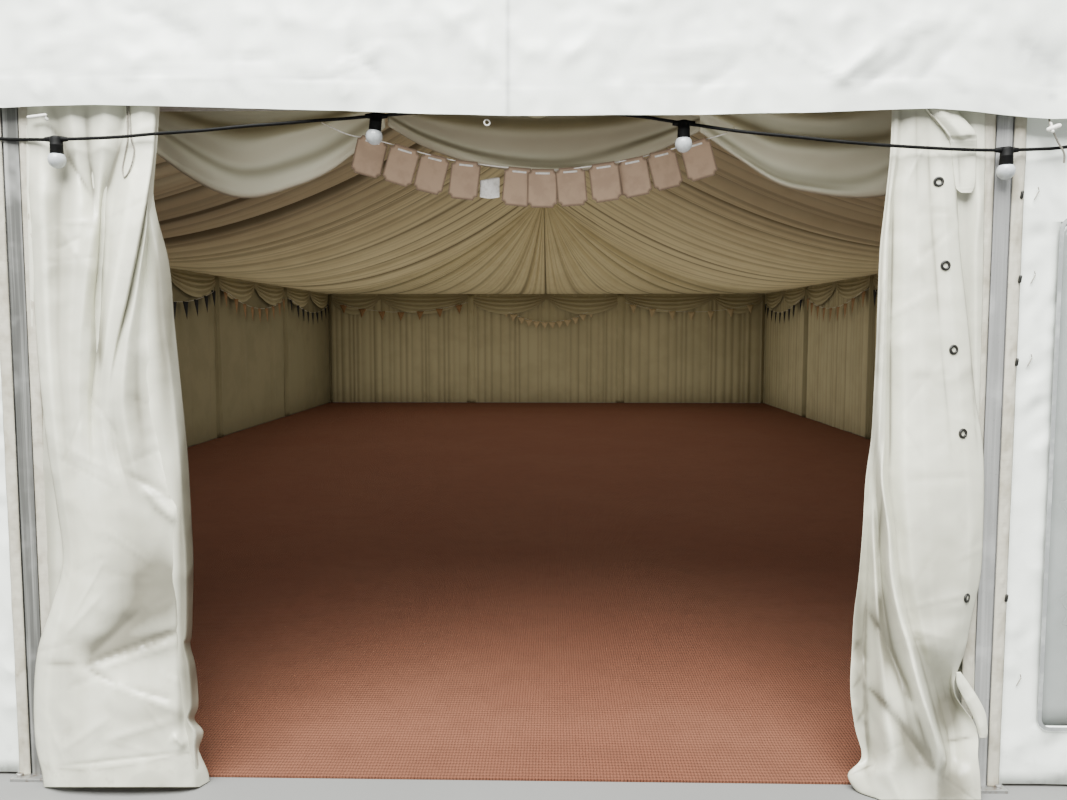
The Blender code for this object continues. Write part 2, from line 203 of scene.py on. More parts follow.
GROUPS = {
    "soiling": new_group("soiling", soiling, Scale=1.0, Threshold=0.5),
    "streaks": new_group("streaks", streaks, Scale=1.0, Stretch=0.05),
    "rumple": new_group("rumple", rumple, Scale=1.0, Fineness=3.0),
    "weave": new_group("weave", weave, Threads=400.0, Ribs=400.0),
}


# Materials


class Look:
    """A material in the making: its shader, coordinates, and the colour that is laid on so far."""

    def __init__(self, name, colour, roughness, metallic=0.0, constants=None):
        self.material = bpy.data.materials.new(name)
        self.material.use_nodes = True
        self.tree = self.material.node_tree
        self.shader = self.tree.nodes["Principled BSDF"]
        feed(self.tree, self.shader, {"Roughness": roughness, "Metallic": metallic, **(constants or {})})
        coords = self.tree.nodes.new("ShaderNodeTexCoord")
        self.here = coords.outputs["Object"]
        self.flat = coords.outputs["UV"]
        self.colour = (*colour, 1.0)

    def group(self, name, position=None, **inputs):
        """The output of a shared group, by Object coordinates unless a position is given."""
        made = self.tree.nodes.new("ShaderNodeGroup")
        made.node_tree = GROUPS[name]
        place = self.here if position is None else position
        return feed(self.tree, made, {"Position": place, **inputs}).outputs[0]

    def soil(self, scale, threshold):
        """A mask of soft uneven dirt."""
        return self.group("soiling", Scale=scale, Threshold=threshold)

    def noise(self, scale, detail=1.0, **more):
        """Plain noise."""
        inputs = {"Vector": self.here, "Scale": scale, "Detail": detail, **more}
        return wire(self.tree, "TexNoise", inputs).outputs["Fac"]

    def fold(self):
        """The piece's mask of painted shade in its folds and creases, with marks of its own such as seams and
        card rims.
        """
        return wire(self.tree, "Attribute", {}, attribute_name="shade_and_marks").outputs["Fac"]

    def lay(self, mask, colour, amount=None):
        """Lays a colour over the colour so far by a mask, or by an amount of it."""
        if amount is not None:
            mask = reckon(self.tree, "MULTIPLY", mask, amount)
        mix = wire(self.tree, "Mix", {0: mask, 6: self.colour, 7: (*colour, 1.0)}, data_type="RGBA")
        self.colour = mix.outputs[2]

    def vary_roughness(self, mask, clean, worn):
        """Roughness that runs from clean to worn with a mask."""
        span = wire(self.tree, "MapRange", {"Value": mask, "To Min": clean, "To Max": worn})
        feed(self.tree, self.shader, {"Roughness": span.outputs["Result"]})

    def made(self, *bumps):
        """The material, with a chain of bumps: each has a height, a strength and a distance in metres."""
        normal = {}
        for height, strength, distance in bumps:
            inputs = {"Height": height, "Strength": strength, "Distance": distance, **normal}
            normal = {"Normal": wire(self.tree, "Bump", inputs).outputs[0]}
        feed(self.tree, self.shader, {"Base Color": self.colour, **normal})
        return self.material


def pvc(name, clean, shaded, grime, shade_and_marks, crease, foot_dirt):
    """Coated sheet: clean colour, greyer patches, streaks and dirt near the ground, painted shade in its
    folds, with soft creases.
    """
    look = Look(name, clean, 0.42)
    patches = look.soil(0.9, 0.46)
    look.lay(patches, shaded, 0.45)
    look.lay(look.group("streaks", Scale=5.0, Stretch=0.06), grime, 0.22)
    height = wire(look.tree, "SeparateXYZ", {0: look.here}).outputs[2]
    levels = {"Value": height, "From Min": 0.22, "From Max": 0.0, "To Min": 0.12, "To Max": foot_dirt}
    ground = wire(look.tree, "MapRange", levels).outputs[0]
    look.lay(reckon(look.tree, "MULTIPLY", ground, look.soil(17.0, 0.52)), grime)
    # Painted shade in folds and creases, with the seams and marks that the mask also carries
    look.lay(look.fold(), shade_and_marks, 0.85)
    look.vary_roughness(patches, 0.36, 0.52)
    creases = look.group("rumple", Scale=2.6, Fineness=3.0)
    crumples = look.group("rumple", Scale=9.5, Fineness=2.0)
    return look.made((creases, crease, 0.024), (crumples, crease, 0.020))


def cloth_finish(name, colour, shadow, threads=700.0):
    """Woven cloth: two close shades in broad patches, painted shade in its folds, with a fine weave along its
    own lengths.
    """
    look = Look(name, colour, 0.85)
    look.lay(look.soil(1.7, 0.42), shadow, 0.6)
    # Painted shade in the folds and pleats
    look.lay(look.fold(), (0.16, 0.135, 0.085), 0.9)
    height = look.group("weave", look.flat, Threads=threads, Ribs=threads)
    return look.made((height, 0.25, 0.0004))


def aluminium_finish(name, dark, light, pale):
    """Mill-finish profile gone dull: grey, with long pale and dark streaks and small pits."""
    look = Look(name, dark, 0.5, 0.7)
    runs = look.group("streaks", Scale=60.0, Stretch=0.02)
    look.lay(runs, light)
    pits = look.soil(160.0, 0.60)
    look.lay(pits, (0.16, 0.165, 0.16), 0.6)
    bloom = look.soil(6.0, 0.5)
    look.lay(bloom, (0.62, 0.62, 0.61), pale)
    look.vary_roughness(bloom, 0.42, 0.62)
    return look.made((runs, 0.3, 0.0006), (pits, 0.4, 0.0004))


def webbing_finish():
    """Ivory edge webbing, ribbed across its length."""
    look = Look("edge_webbing", (0.47, 0.445, 0.365), 0.62)
    look.lay(look.soil(9.0, 0.42), (0.34, 0.31, 0.24))
    look.lay(look.group("streaks", Scale=40.0, Stretch=0.08), (0.56, 0.53, 0.45), 0.3)
    ribs = look.group("weave", look.flat, Threads=420.0, Ribs=230.0)
    return look.made((ribs, 0.35, 0.0008))


def matting_finish():
    """Woven coir matting: thick ribs down the tent crossed by finer threads, with worn lighter lanes."""
    look = Look("coir_matting", (0.040, 0.014, 0.007), 0.95, 0.0, {"Specular IOR Level": 0.2})
    shift = wire(look.tree, "VectorMath", {0: look.noise(30.0), 1: (0.005, 0.005, 0.0)}, operation="MULTIPLY")
    wavy = wire(look.tree, "VectorMath", {0: look.here, 1: shift.outputs[0]}, operation="ADD").outputs[0]
    ribs = look.group("weave", wavy, Threads=95.0, Ribs=52.0)
    fibres = look.noise(420.0, Roughness=0.7)
    look.lay(ribs, (0.140, 0.052, 0.030))
    look.lay(look.soil(0.8, 0.40), (0.150, 0.064, 0.038), 0.35)
    look.lay(look.soil(6.5, 0.45), (0.10, 0.038, 0.022), 0.30)
    speck = wire(look.tree, "MapRange", {"Value": fibres, "From Min": 0.52, "From Max": 0.70})
    look.lay(speck.outputs[0], (0.19, 0.094, 0.058), 0.5)
    return look.made((ribs, 0.9, 0.0035), (fibres, 0.6, 0.0015))


def plain_finish(name, colour, worn, roughness, scale, metallic=0.0, gloss=0.5, rim=None):
    """A small part's finish: two shades in fine patches and a slight tooth. It may have a darker rim."""
    look = Look(name, colour, roughness, metallic, {"Specular IOR Level": gloss})
    look.lay(look.soil(scale, 0.45), worn)
    if rim:
        look.lay(look.fold(), rim)
    return look.made((look.noise(scale * 9.0), 0.2, 0.0005))


def window_finish():
    """Clear film gone a little milky, with faint scuffs."""
    clear = {"Transmission Weight": 0.55, "IOR": 1.45}
    look = Look("window_film", (0.54, 0.57, 0.555), 0.12, 0.0, clear)
    haze = look.soil(3.0, 0.42)
    look.lay(haze, (0.45, 0.48, 0.465))
    look.vary_roughness(haze, 0.10, 0.32)
    return look.made((look.group("rumple", Scale=2.5, Fineness=1.0), 0.15, 0.006))


# Each: clean colour, patch colour, grime, and the colour of the painted shade in folds, which on the covers
# also draws seams and marks
COVER = [(0.915, 0.955, 0.895), (0.79, 0.825, 0.78), (0.44, 0.44, 0.42), (0.28, 0.29, 0.29)]
DOOR = [(0.80, 0.80, 0.66), (0.66, 0.65, 0.51), (0.31, 0.28, 0.20), (0.075, 0.065, 0.042)]
FINISHES = {
    "cover": pvc("cover_white", *COVER, 0.85, 0.5),
    "door": pvc("door_white", *DOOR, 0.40, 0.4),
    "ceiling": cloth_finish("ceiling_cloth", (0.76, 0.70, 0.49), (0.68, 0.615, 0.42)),
    "wall": cloth_finish("wall_cloth", (0.345, 0.312, 0.203), (0.29, 0.262, 0.167)),
    "wall_plain": cloth_finish("wall_cloth_plain", (0.185, 0.166, 0.10), (0.152, 0.135, 0.078)),
    "swag": cloth_finish("swag_cloth", (0.62, 0.61, 0.49), (0.46, 0.445, 0.34), 800.0),
    "aluminium": aluminium_finish("aluminium_dull", (0.42, 0.42, 0.415), (0.57, 0.57, 0.56), 0.35),
    # A darker copy of the same aluminium, for the front left post: painted shade
    "aluminium_painted_shade": aluminium_finish("aluminium_painted_shade", (0.17, 0.17, 0.16), (0.42, 0.42, 0.40), 0.30),
    "webbing": webbing_finish(),
    "matting": matting_finish(),
    "window": window_finish(),
}

CARD_RIM = (0.13, 0.088, 0.062)

# Each: name, colour, its worn shade, roughness and patches to the metre, then metal, gloss and rim
PLAIN = {
    "weld": ("window_weld", (0.24, 0.25, 0.25), (0.36, 0.37, 0.365), 0.4, 14.0),
    "rubber": ("black_rubber", (0.003, 0.003, 0.003), (0.006, 0.006, 0.006), 0.6, 60.0, 0.0, 0.12),
    "bulb": ("milky_bulb", (0.47, 0.49, 0.505), (0.38, 0.40, 0.415), 0.22, 45.0),
    "steel": ("zinc_steel", (0.42, 0.42, 0.41), (0.25, 0.20, 0.16), 0.45, 30.0, 0.9),
    "ring": ("eyelet_ring", (0.010, 0.010, 0.009), (0.035, 0.032, 0.026), 0.45, 120.0, 0.3),
    "toggle": ("toggle_nylon", (0.74, 0.73, 0.68), (0.60, 0.58, 0.52), 0.35, 80.0),
    "rope": ("elastic_rope", (0.26, 0.24, 0.20), (0.16, 0.145, 0.12), 0.8, 160.0),
    "card": ("kraft_card", (0.40, 0.28, 0.20), (0.35, 0.243, 0.175), 0.85, 18.0, 0.0, 0.5, CARD_RIM),
    "string": ("white_string", (0.72, 0.70, 0.70), (0.58, 0.56, 0.55), 0.8, 90.0),
    "navy": ("navy_pennant", (0.008, 0.009, 0.013), (0.016, 0.017, 0.022), 0.85, 50.0, 0.0, 0.2),
    "rust": ("rust_pennant", (0.25, 0.145, 0.07), (0.20, 0.115, 0.055), 0.85, 50.0),
    "tan": ("tan_pennant", (0.40, 0.32, 0.20), (0.33, 0.26, 0.16), 0.85, 50.0),
}
for key, row in PLAIN.items():
    FINISHES[key] = plain_finish(*row)


# Making pieces


def finish(name, data, material, nodes=(), smooth=True):
    """An object that rides on the tent, from a bmesh or a curve, with its finish. It may stand for nodes."""
    if isinstance(data, bmesh.types.BMesh):
        mesh = bpy.data.meshes.new(name)
        data.to_mesh(mesh)
        data.free()
        if smooth:
            mesh.shade_smooth()
        data = mesh
    piece = bpy.data.objects.new(name, data)
    piece.data.materials.append(FINISHES[material])
    bpy.context.scene.collection.objects.link(piece)
    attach(piece, "root")
    if nodes:
        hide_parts(*nodes)
    return piece


def thicken(piece, thickness):
    """Gives a sheet its thickness, half on each side."""
    solid = piece.modifiers.new("thickness", "SOLIDIFY")
    solid.thickness = thickness
    solid.offset = 0.0


def cloth(name, across, along, size, place, material, thickness, nodes=(), cut=None):
    """A sheet from a grid of quads. place(s, t) gives the points for shares s and t of its width and length.

    With the points it may give a mask of painted shade in folds and creases, with some marks of the sheet's
    own, which the materials lay on as darker colour.
    """
    bm = bmesh.new()
    flat_map = bm.loops.layers.uv.new("flat")
    bmesh.ops.create_grid(bm, x_segments=across, y_segments=along, size=0.5)
    if cut:
        cut(bm)
    share = np.array([vert.co[:2] for vert in bm.verts]) + 0.5
    for face in bm.faces:
        for loop in face.loops:
            loop[flat_map].uv = ((loop.vert.co.x + 0.5) * size[0], (loop.vert.co.y + 0.5) * size[1])
    spots = place(share[:, 0], share[:, 1])
    if isinstance(spots, tuple):
        spots, depths = spots
        layer = bm.verts.layers.float.new("shade_and_marks")
        for vert, depth in zip(bm.verts, depths):
            vert[layer] = depth
    for vert, spot in zip(bm.verts, spots):
        vert.co = spot
    piece = finish(name, bm, material, nodes)
    if thickness:
        thicken(piece, thickness)
    return piece


def points(x, y, z):
    """Rows of coordinates from three numbers or arrays."""
    return np.stack(np.broadcast_arrays(np.asarray(x, float), y, z), -1)


def rough(place, scale, seed):
    """Smooth noise from -1 to 1 at each point."""
    shift = Vector((seed * 7.13, seed * 3.71, seed * 5.37))
    return np.array([noise.noise(Vector(p) * scale + shift) for p in place])


def creased(a, b, creases):
    """Height from creases between pairs of points in a plane. Each has its ends, depth and width."""
    total = np.zeros_like(a)
    for (a0, b0), (a1, b1), depth, width in creases:
        da, db = a1 - a0, b1 - b0
        length = math.hypot(da, db)
        along = ((a - a0) * da + (b - b0) * db) / length**2
        off = np.abs((a - a0) * db - (b - b0) * da) / length
        fade = np.clip(np.minimum(along, 1 - along) * 4, 0, 1)
        total += depth * fade * np.exp(-off / width)
    return total


def random_creases(seed, count, a_span, b_span, lengths, depth, width):
    """Scattered creases in a plane, in all directions but mostly slanting."""
    pick = random.Random(seed)
    made = []
    for _ in range(count):
        a, b = pick.uniform(*a_span), pick.uniform(*b_span)
        angle = pick.gauss(0.0, 0.8)
        reach = pick.uniform(*lengths)
        end = (a + reach * math.cos(angle), b + reach * math.sin(angle))
        made.append(((a, b), end, pick.uniform(-1, 1) * depth, pick.uniform(0.5, 1.5) * width))
    return made


def smooth_weights(count, shares, crisp=0.0):
    """Weights of evenly spaced values that give a curve through them, at shares from 0 to 1.

    It is smooth, or has a corner at each value as far as it is crisp.
    """
    at = np.clip(np.asarray(shares), 0, 1) * (count - 1)
    start = np.minimum(at.astype(int), count - 2)
    t = at - start
    bend = 1 - crisp
    parts = [
        (-1, bend * (-t + 2 * t**2 - t**3) / 2),
        (0, bend * (2 - 5 * t**2 + 3 * t**3) / 2 + crisp * (1 - t)),
        (1, bend * (t + 4 * t**2 - 3 * t**3) / 2 + crisp * t),
        (2, bend * (-(t**2) + t**3) / 2),
    ]
    weights = np.zeros((len(at), count))
    rows = np.arange(len(at))
    for step, part in parts:
        np.add.at(weights, (rows, np.clip(start + step, 0, count - 1)), part)
    return weights


def follow(values, shares):
    """Smooth values through a list of numbers or points, at shares from 0 to 1."""
    return smooth_weights(len(values), shares) @ np.asarray(values, float)


def tube(name, path, radius, material, resolution=3, nodes=()):
    """A round cord along a path of points, as a curve."""
    curve = bpy.data.curves.new(name, "CURVE")
    curve.dimensions = "3D"
    curve.bevel_depth = radius
    curve.bevel_resolution = resolution
    curve.use_fill_caps = True
    spline = curve.splines.new("POLY")
    spline.points.add(len(path) - 1)
    for point, place in zip(spline.points, path):
        point.co = (*place, 1.0)
    return finish(name, curve, material, nodes)


def limp_cord(name, path, radius, material, resolution):
    """A cord along a given path, made as a tube."""
    cord = tube(name, path, radius, material, resolution)


def spin_round(bm, geom, steps):
    """Spins an outline once round the vertical axis, and closes it."""
    bmesh.ops.spin(
        bm, geom=geom, cent=(0, 0, 0), axis=(0, 0, 1), angle=2 * math.pi, steps=steps, use_merge=True
    )


def turned(bm, profile, at, tilt=(0.0, 0.0), steps=28):
    """Adds a turned solid to bm: radius and height pairs, closed at both ends on the axis."""
    verts = [bm.verts.new((r, 0.0, z)) for r, z in profile]
    edges = [bm.edges.new(pair) for pair in zip(verts, verts[1:])]
    spin_round(bm, verts + edges, steps)
    fresh = [v for v in bm.verts if not v.tag]
    turn = Matrix.Rotation(tilt[0], 4, "X") @ Matrix.Rotation(tilt[1], 4, "Y")
    bmesh.ops.transform(bm, matrix=Matrix.Translation(at) @ turn, verts=fresh)
    for vert in fresh:
        vert.tag = True


def seal(bm):
    """Closes seams and poles, and turns the faces out."""
    bmesh.ops.remove_doubles(bm, verts=bm.verts, dist=1e-6)
    bmesh.ops.recalc_face_normals(bm, faces=bm.faces)
    return bm


# Festoon lights

CABLE = 0.010
CABLE_STEP = 0.012
CABLE_ROUTE = [
    (-1.780, 0.0060, 2.056), (-1.740, 0.0060, 2.045), (-1.680, 0.0056, 2.034), (-1.600, 0.0054, 2.027),
    (-1.530, 0.0056, 2.024), (-1.499, 0.0060, 2.022), (-1.460, 0.0110, 2.020), (-1.424, 0.0200, 2.018),
    (-1.376, 0.0360, 2.014), (-1.334, 0.0450, 2.013), (-1.248, 0.0470, 2.014), (-1.140, 0.0450, 2.019),
    (-1.027, 0.0410, 2.029), (-0.889, 0.0360, 2.039), (-0.776, 0.0300, 2.051), (-0.662, 0.0180, 2.062),
    (-0.600, 0.0090, 2.069), (-0.540, -0.0020, 2.076), (-0.475, -0.0110, 2.082), (-0.425, -0.0180, 2.088),
    (-0.382, -0.0220, 2.092), (-0.217, -0.0200, 2.103), (0.026, -0.0180, 2.110), (0.268, -0.0200, 2.100),
    (0.419, -0.0220, 2.086), (0.485, -0.0220, 2.076), (0.551, -0.0210, 2.065), (0.598, -0.0120, 2.056),
    (0.661, 0.0050, 2.042), (0.731, 0.0240, 2.028), (0.866, 0.0380, 2.011), (1.001, 0.0440, 1.995),
    (1.137, 0.0460, 1.983), (1.275, 0.0420, 1.975), (1.369, 0.0340, 1.972), (1.440, 0.0300, 1.971),
    (1.493, 0.0300, 1.971), (1.586, 0.0200, 1.975), (1.660, 0.0100, 1.981), (1.740, 0.0072, 1.994),
    (1.840, 0.0056, 2.018), (1.960, 0.0065, 2.052),
]
LAMPS_AT = {-1.334: 0.0, -0.382: 0.12, 0.551: 0.0, 1.493: 0.0}
HOLDER_R = 0.0190
HOLDER_FOOT = -0.044
BULB_R = 0.0258
BULB_DROP = 0.017
SLEEVE = [(0.0, 0.034), (0.0062, 0.034), (0.0068, 0.031), (0.0080, 0.022), (0.0100, 0.010), (0.0, 0.010)]
CABLE_END = [(0.0, -0.016), (0.0070, -0.016), (0.0078, -0.012), (0.0078, 0.010), (0.0, 0.012)]


def cable_line():
    """Points of the cable, a smooth curve through its route."""
    route = [Vector((x, -FRONT - ahead, z)) for x, ahead, z in CABLE_ROUTE]
    line = []
    for k, (start, stop) in enumerate(zip(route, route[1:])):
        part = [route[max(k - 1, 0)], start, stop, route[min(k + 2, len(route) - 1)]]
        count = max(1, round((stop - start).length / CABLE_STEP))
        shares = [(1 + step / count) / 3 for step in range(count)]
        line += [Vector(p) for p in follow([tuple(p) for p in part], shares)]
    return line + [route[-1]]


def lamp_holder(name, at, lean):
    """A black moulded lampholder with shoulders along the cable."""
    bm = bmesh.new()
    wall = [(0.0, 0.009), (0.011, 0.009), (0.0165, 0.006), (0.0180, 0.001), (0.0182, -0.016)]
    ring = [(0.0188, -0.017), (0.0188, -0.019), (0.0182, -0.020)]
    skirt = [(HOLDER_R, HOLDER_FOOT + 0.002), (HOLDER_R - 0.001, HOLDER_FOOT), (0.0, HOLDER_FOOT)]
    turned(bm, wall + ring + skirt, (0, 0, 0), (0.0, lean))
    for side in (-1, 1):
        turned(bm, SLEEVE, (0, 0, 0), (0.0, side * math.pi / 2), 16)
    seal(bm)
    bmesh.ops.translate(bm, verts=bm.verts, vec=at)
    return finish(name, bm, "rubber")


def lamp_bulb(name, at, lean):
    """A milky globe bulb in its holder."""
    centre = HOLDER_FOOT - BULB_DROP
    start = math.acos(BULB_DROP * 0.96 / BULB_R)
    profile = [(0.0, HOLDER_FOOT - 0.0003), (0.014, HOLDER_FOOT - 0.0003)]
    for k in range(15):
        turn = start + (math.pi - start) * k / 14
        profile.append((BULB_R * math.sin(turn), centre + BULB_R * math.cos(turn)))
    bm = bmesh.new()
    turned(bm, profile, at, (0.0, lean), 36)
    return finish(name, seal(bm), "bulb")


def festoon():
    """The cable along the front, its four lamps and its capped ends."""
    line = cable_line()
    cable = tube("festoon_cable", line, CABLE / 2, "rubber", 4, ["festoon_lights"])
    for k, (x, lean) in enumerate(LAMPS_AT.items(), 1):
        at = min(line, key=lambda p: abs(p.x - x))
        lamp_holder(f"lamp_holder_{k}", at, lean)
        lamp_bulb(f"lamp_bulb_{k}", at, lean)
    for name, end, back in (("cable_end_left", line[0], line[3]), ("cable_end_right", line[-1], line[-4])):
        bm = bmesh.new()
        turned(bm, CABLE_END, (0, 0, 0))
        aim = (end - back).to_track_quat("Z", "Y").to_matrix().to_4x4()
        bmesh.ops.transform(bm, matrix=Matrix.Translation(end) @ aim, verts=bm.verts)
        finish(name, seal(bm), "rubber")


add_camera()
festoon()


# Covers

SHEET = 0.0016
HEM_BAND = 0.095
ROLL_WIDTH = 2.05
HEM_RISE = 0.0022
SEAM_AT = 0.025
SEAM_WIDE = 0.04
SEAM_RISE = 0.0014
HEM_PIXELS = [
    (-60, 111), (0, 111), (60, 109), (100, 108), (160, 109), (230, 111), (340, 114), (430, 117), (510, 119),
    (600, 118.5), (700, 117.5), (800, 116), (893, 112.6), (928, 111.7), (960, 114), (994, 118), (1030, 121),
    (1067, 123.6), (1120, 122),
]
HEM_WAVE = 1.45
HEM_SEEN_TO = 1.62
HEM_BLEND = 0.5


def hem_height(x):
    """Height of the front hem: as it shows over the doorway, and a slow wave beyond."""
    seen_hem = np.array([seen(u, v, -FRONT) for u, v in HEM_PIXELS])
    near = np.interp(x, seen_hem[:, 0], seen_hem[:, 2])
    beyond = HEM + 0.006 + 0.012 * np.cos(2 * math.pi * (np.abs(x) - POST_X) / HEM_WAVE)
    share = np.clip((np.abs(x) - HEM_SEEN_TO) / HEM_BLEND, 0, 1)
    return near * (1 - share) + beyond * share


def weld_step(x, centre):
    """A seam of double sheet, raised a little, with soft edges."""
    return SEAM_RISE * np.clip((SEAM_WIDE / 2 - np.abs(x - centre)) / 0.003, 0, 1)


HEM_CLEAR = 0.027
NEAR_SCALE = 325.0
NEAR_HALF = 1.75
NEAR_SHARE = 0.74
GABLE_DENTS = [
    ((828, 88), (888, 40), 0.022, 7.0), ((882, 42), (948, 20), 0.018, 7.0),
    ((850, 96), (915, 50), -0.014, 8.0), ((905, 92), (960, 36), -0.010, 9.0),
    ((346, 46), (388, 84), -0.016, 7.0), ((326, 80), (396, 46), 0.012, 6.0),
    ((130, 4), (214, 44), -0.014, 10.0), ((1004, 34), (1070, 90), -0.018, 14.0),
    ((290, 26), (470, 34), 0.009, 5.0), ((555, 74), (604, 26), 0.012, 8.0),
    ((630, 62), (770, 42), 0.010, 7.0), ((24, 60), (120, 30), 0.010, 8.0),
    ((200, 66), (300, 56), -0.008, 5.0), ((690, 96), (742, 62), -0.010, 6.0),
    ((440, 16), (500, 62), 0.008, 6.0),
]
GABLE_WELDS = [
    ((150, 86), (452, 77), 0.40, 1.6), ((452, 77), (520, 79), 0.22, 1.6), ((560, 92), (830, 88), 0.20, 1.4),
]
GABLE_MARKS = [
    (1036, 62, 26, 18, 0.34), (957, 95, 9, 3.5, 0.45), (1045, 100, 5, 4, 0.55), (858, 72, 16, 12, 0.18),
]


def gable_cover(end, e):
    """The triangle of a gable, with its welded seams, hem band and slack."""
    seed = 3 + e
    creases = random_creases(seed, 260, (-HALF, HALF), (HEM, HEM + 1.2), (0.10, 0.6), 0.007, 0.009)
    welds = []
    marks = []
    if end == "front":
        for found, kept in ((GABLE_DENTS, creases), (GABLE_WELDS, welds)):
            for start, stop, depth, width in found:
                (x0, _, z0), (x1, _, z1) = seen(*start, -FRONT), seen(*stop, -FRONT)
                kept.append(((x0, z0), (x1, z1), depth, width / NEAR_SCALE))
        marks = [(*seen(u, v, -FRONT)[[0, 2]], *spot) for u, v, *spot in GABLE_MARKS]

    def place(s, t):
        near = NEAR_HALF * (2 * s - 1) / NEAR_SHARE
        past = (np.abs(2 * s - 1) - NEAR_SHARE) / (1 - NEAR_SHARE)
        far = NEAR_HALF + (HALF - 0.001 - NEAR_HALF) * past
        x = np.where(past > 0, np.sign(s - 0.5) * far, near)
        foot = hem_height(x) if end == "front" else HEM + 0.01 * np.sin(x * 4.1)
        top = EAVE + (HALF - np.abs(x)) * SLOPE - 0.012 / SKEW
        z = foot + (top - foot) * t**2.2
        above = z - foot
        rise = np.clip(above / 0.25, 0, 1) * np.clip((top - z) / 0.12, 0, 1)
        level = points(x, z, 0)
        belly = 0.012 * rise * (1 + rough(level, 0.9, seed))
        ridges = 0.006 * (1 - 2 * np.abs(rough(level, 2.2, seed + 1))) + 0.003 * rough(level, 6.0, seed + 2)
        slack = 0.005 + ridges * np.clip((top - z) / 0.1, 0.1, 1)
        waves = creased(x, z, creases) * np.clip((top - z) / 0.2, 0.2, 1)
        clear = HEM_CLEAR * np.exp(-((above / 0.22) ** 2)) * np.clip((top - z) / 0.15, 0, 1)
        hem = np.where(above < HEM_BAND, HEM_RISE, 0.0) - 0.003 * np.exp(-(((above - HEM_BAND) / 0.004) ** 2))
        seams = sum(weld_step(x, SEAM_AT + ROLL_WIDTH * k) for k in range(-2, 3))
        line = np.exp(-(((x - SEAM_AT) / 0.006) ** 2))
        out = np.maximum(belly + slack + waves * 0.9 + hem + seams - 0.003 * line, 0.0004) + clear
        # A mask that darkens the sheet: painted shade in creases and in the dips of the slack, with the
        # sheet's own seam and weld lines and marks
        dark = 0.75 * line + np.clip(-waves / 0.010, 0, 1) * 0.30 + creased(x, z, welds)
        dark = dark + 0.22 * np.exp(-(((above - HEM_BAND) / 0.006) ** 2)) * (end == "front")
        dark = dark + 0.11 * np.clip(0.5 - ridges / 0.012, 0, 1) ** 2 * rise
        for mark_x, mark_z, wide, tall, strength in marks:
            spot = ((x - mark_x) * NEAR_SCALE / wide) ** 2 + ((z - mark_z) * NEAR_SCALE / tall) ** 2
            dark = dark + strength * np.exp(-spot)
        return points(x, e * (FRONT + GAP + SHEET / 2 + out), z), np.clip(dark, 0, 1)

    cells = (420, 56) if end == "front" else (140, 20)
    size = (2 * HALF, 1.7)
    piece = cloth(f"gable_cover_{end}", *cells, size, place, "cover", SHEET, [f"gable_sheet_{end}"])
    return piece


UNDER = 0.0135


def roof_sheet(k):
    """One bay of the roof, from valance to valance: slack between its rafters, creased at the eaves."""
    y0, y1 = FRAME_Y[k - 1] + PROFILE_W / 2 + GAP, FRAME_Y[k] - PROFILE_W / 2 - GAP
    drop = EAVE - HEM
    run = HALF / SKEW
    half = run + drop
    creases = random_creases(40 + k, 60, (-half, half), (y0, y1), (0.2, 0.8), 0.005, 0.02)

    def place(s, t):
        far = (s - 0.5) * 2 * half
        y = y0 + (y1 - y0) * t
        up = np.abs(far)
        over = np.clip(up - run, 0, None)
        bend = np.clip((up - run + 0.05) / 0.1, 0, 1)
        sag = 0.020 * np.sin(math.pi * t) * np.sin(math.pi * np.clip(up / run, 0, 1)) ** 0.7
        tight = creased(far, y, creases) * np.sin(math.pi * t) * 0.6
        x = np.where(over > 0, HALF, up * SKEW)
        lie = RIDGE - UNDER / SKEW - np.minimum(up, run) * SKEW * SLOPE
        z = np.where(over > 0, EAVE - UNDER - over, lie - sag - np.abs(tight))
        flap = over / drop * (0.008 * np.sin(y * 5.3 + k) + 0.006) * np.sin(math.pi * t) ** 0.5
        x = x - 0.0015 - 0.004 * bend * (1 - np.clip(over / 0.03, 0, 1)) + flap
        return points(np.sign(far) * x, y, z)

    size = (2 * half, y1 - y0)
    piece = cloth(f"roof_sheet_{k}", 120, 20, size, place, "cover", SHEET, [f"roof_cover_{k}"])


def wall_place(lo, hi, plane, axis, out, seed):
    """Places of a wall sheet between two uprights: slack, and creased in all directions."""
    foot, top = WALL_FOOT, BEAM_TOP - 0.002
    creases = random_creases(seed, 34, (lo, hi), (foot, top), (0.15, 0.7), 0.005, 0.018)

    def place(s, t):
        a = lo + (hi - lo) * s
        z = foot + (top - foot) * t
        edge = np.clip(np.minimum(a - lo, hi - a) / 0.15, 0, 1)
        level = points(a, z, 0)
        slack = 0.010 * edge * rough(level, 0.9, seed) + 0.005 * edge * rough(level, 2.7, seed + 1)
        hang = 0.006 * edge * np.sin(a * 9.0 + seed) * (1 - t) ** 0.5
        depth = plane + out * (slack + hang + creased(a, z, creases) * edge)
        return points(depth, a, z) if axis == "X" else points(a, depth, z)

    return place


INSET = 0.0015


def plain_wall(name, node, plane, axis, out, seed):
    """A plain wall sheet in the place of a node of the frame."""
    along = 1 if axis == "X" else 0
    lo, hi = low(node)[along], high(node)[along]
    place = wall_place(lo, hi, plane, axis, out, seed)
    size = (hi - lo, BEAM_TOP - WALL_FOOT)
    wall = cloth(name, 40, 30, size, place, "cover", SHEET, [node])


def plain_walls():
    """Side walls of each bay, and the three walls of the back gable."""
    for side, s in SIDES.items():
        for k in range(1, BAYS + 1):
            node, legs = f"side_wall_{side}_{k}", [f"leg_{side}_{k}", f"leg_{side}_{k + 1}"]
            plane = s * (WALL_PLANE - INSET)
            plain_wall(f"wall_cover_{side}_{k}", node, plane, "X", s, 60 + k * 3 + s)
    for name in ("left", "middle", "right"):
        node = f"back_wall_{name}"
        plain_wall(f"back_cover_{name}", node, high(node)[1] - INSET, "Y", 1, 90 + len(name))


PANE_WELD = 0.020
WINDOW_RADIUS = 0.028
WELD = 0.012
FILM = 0.0009


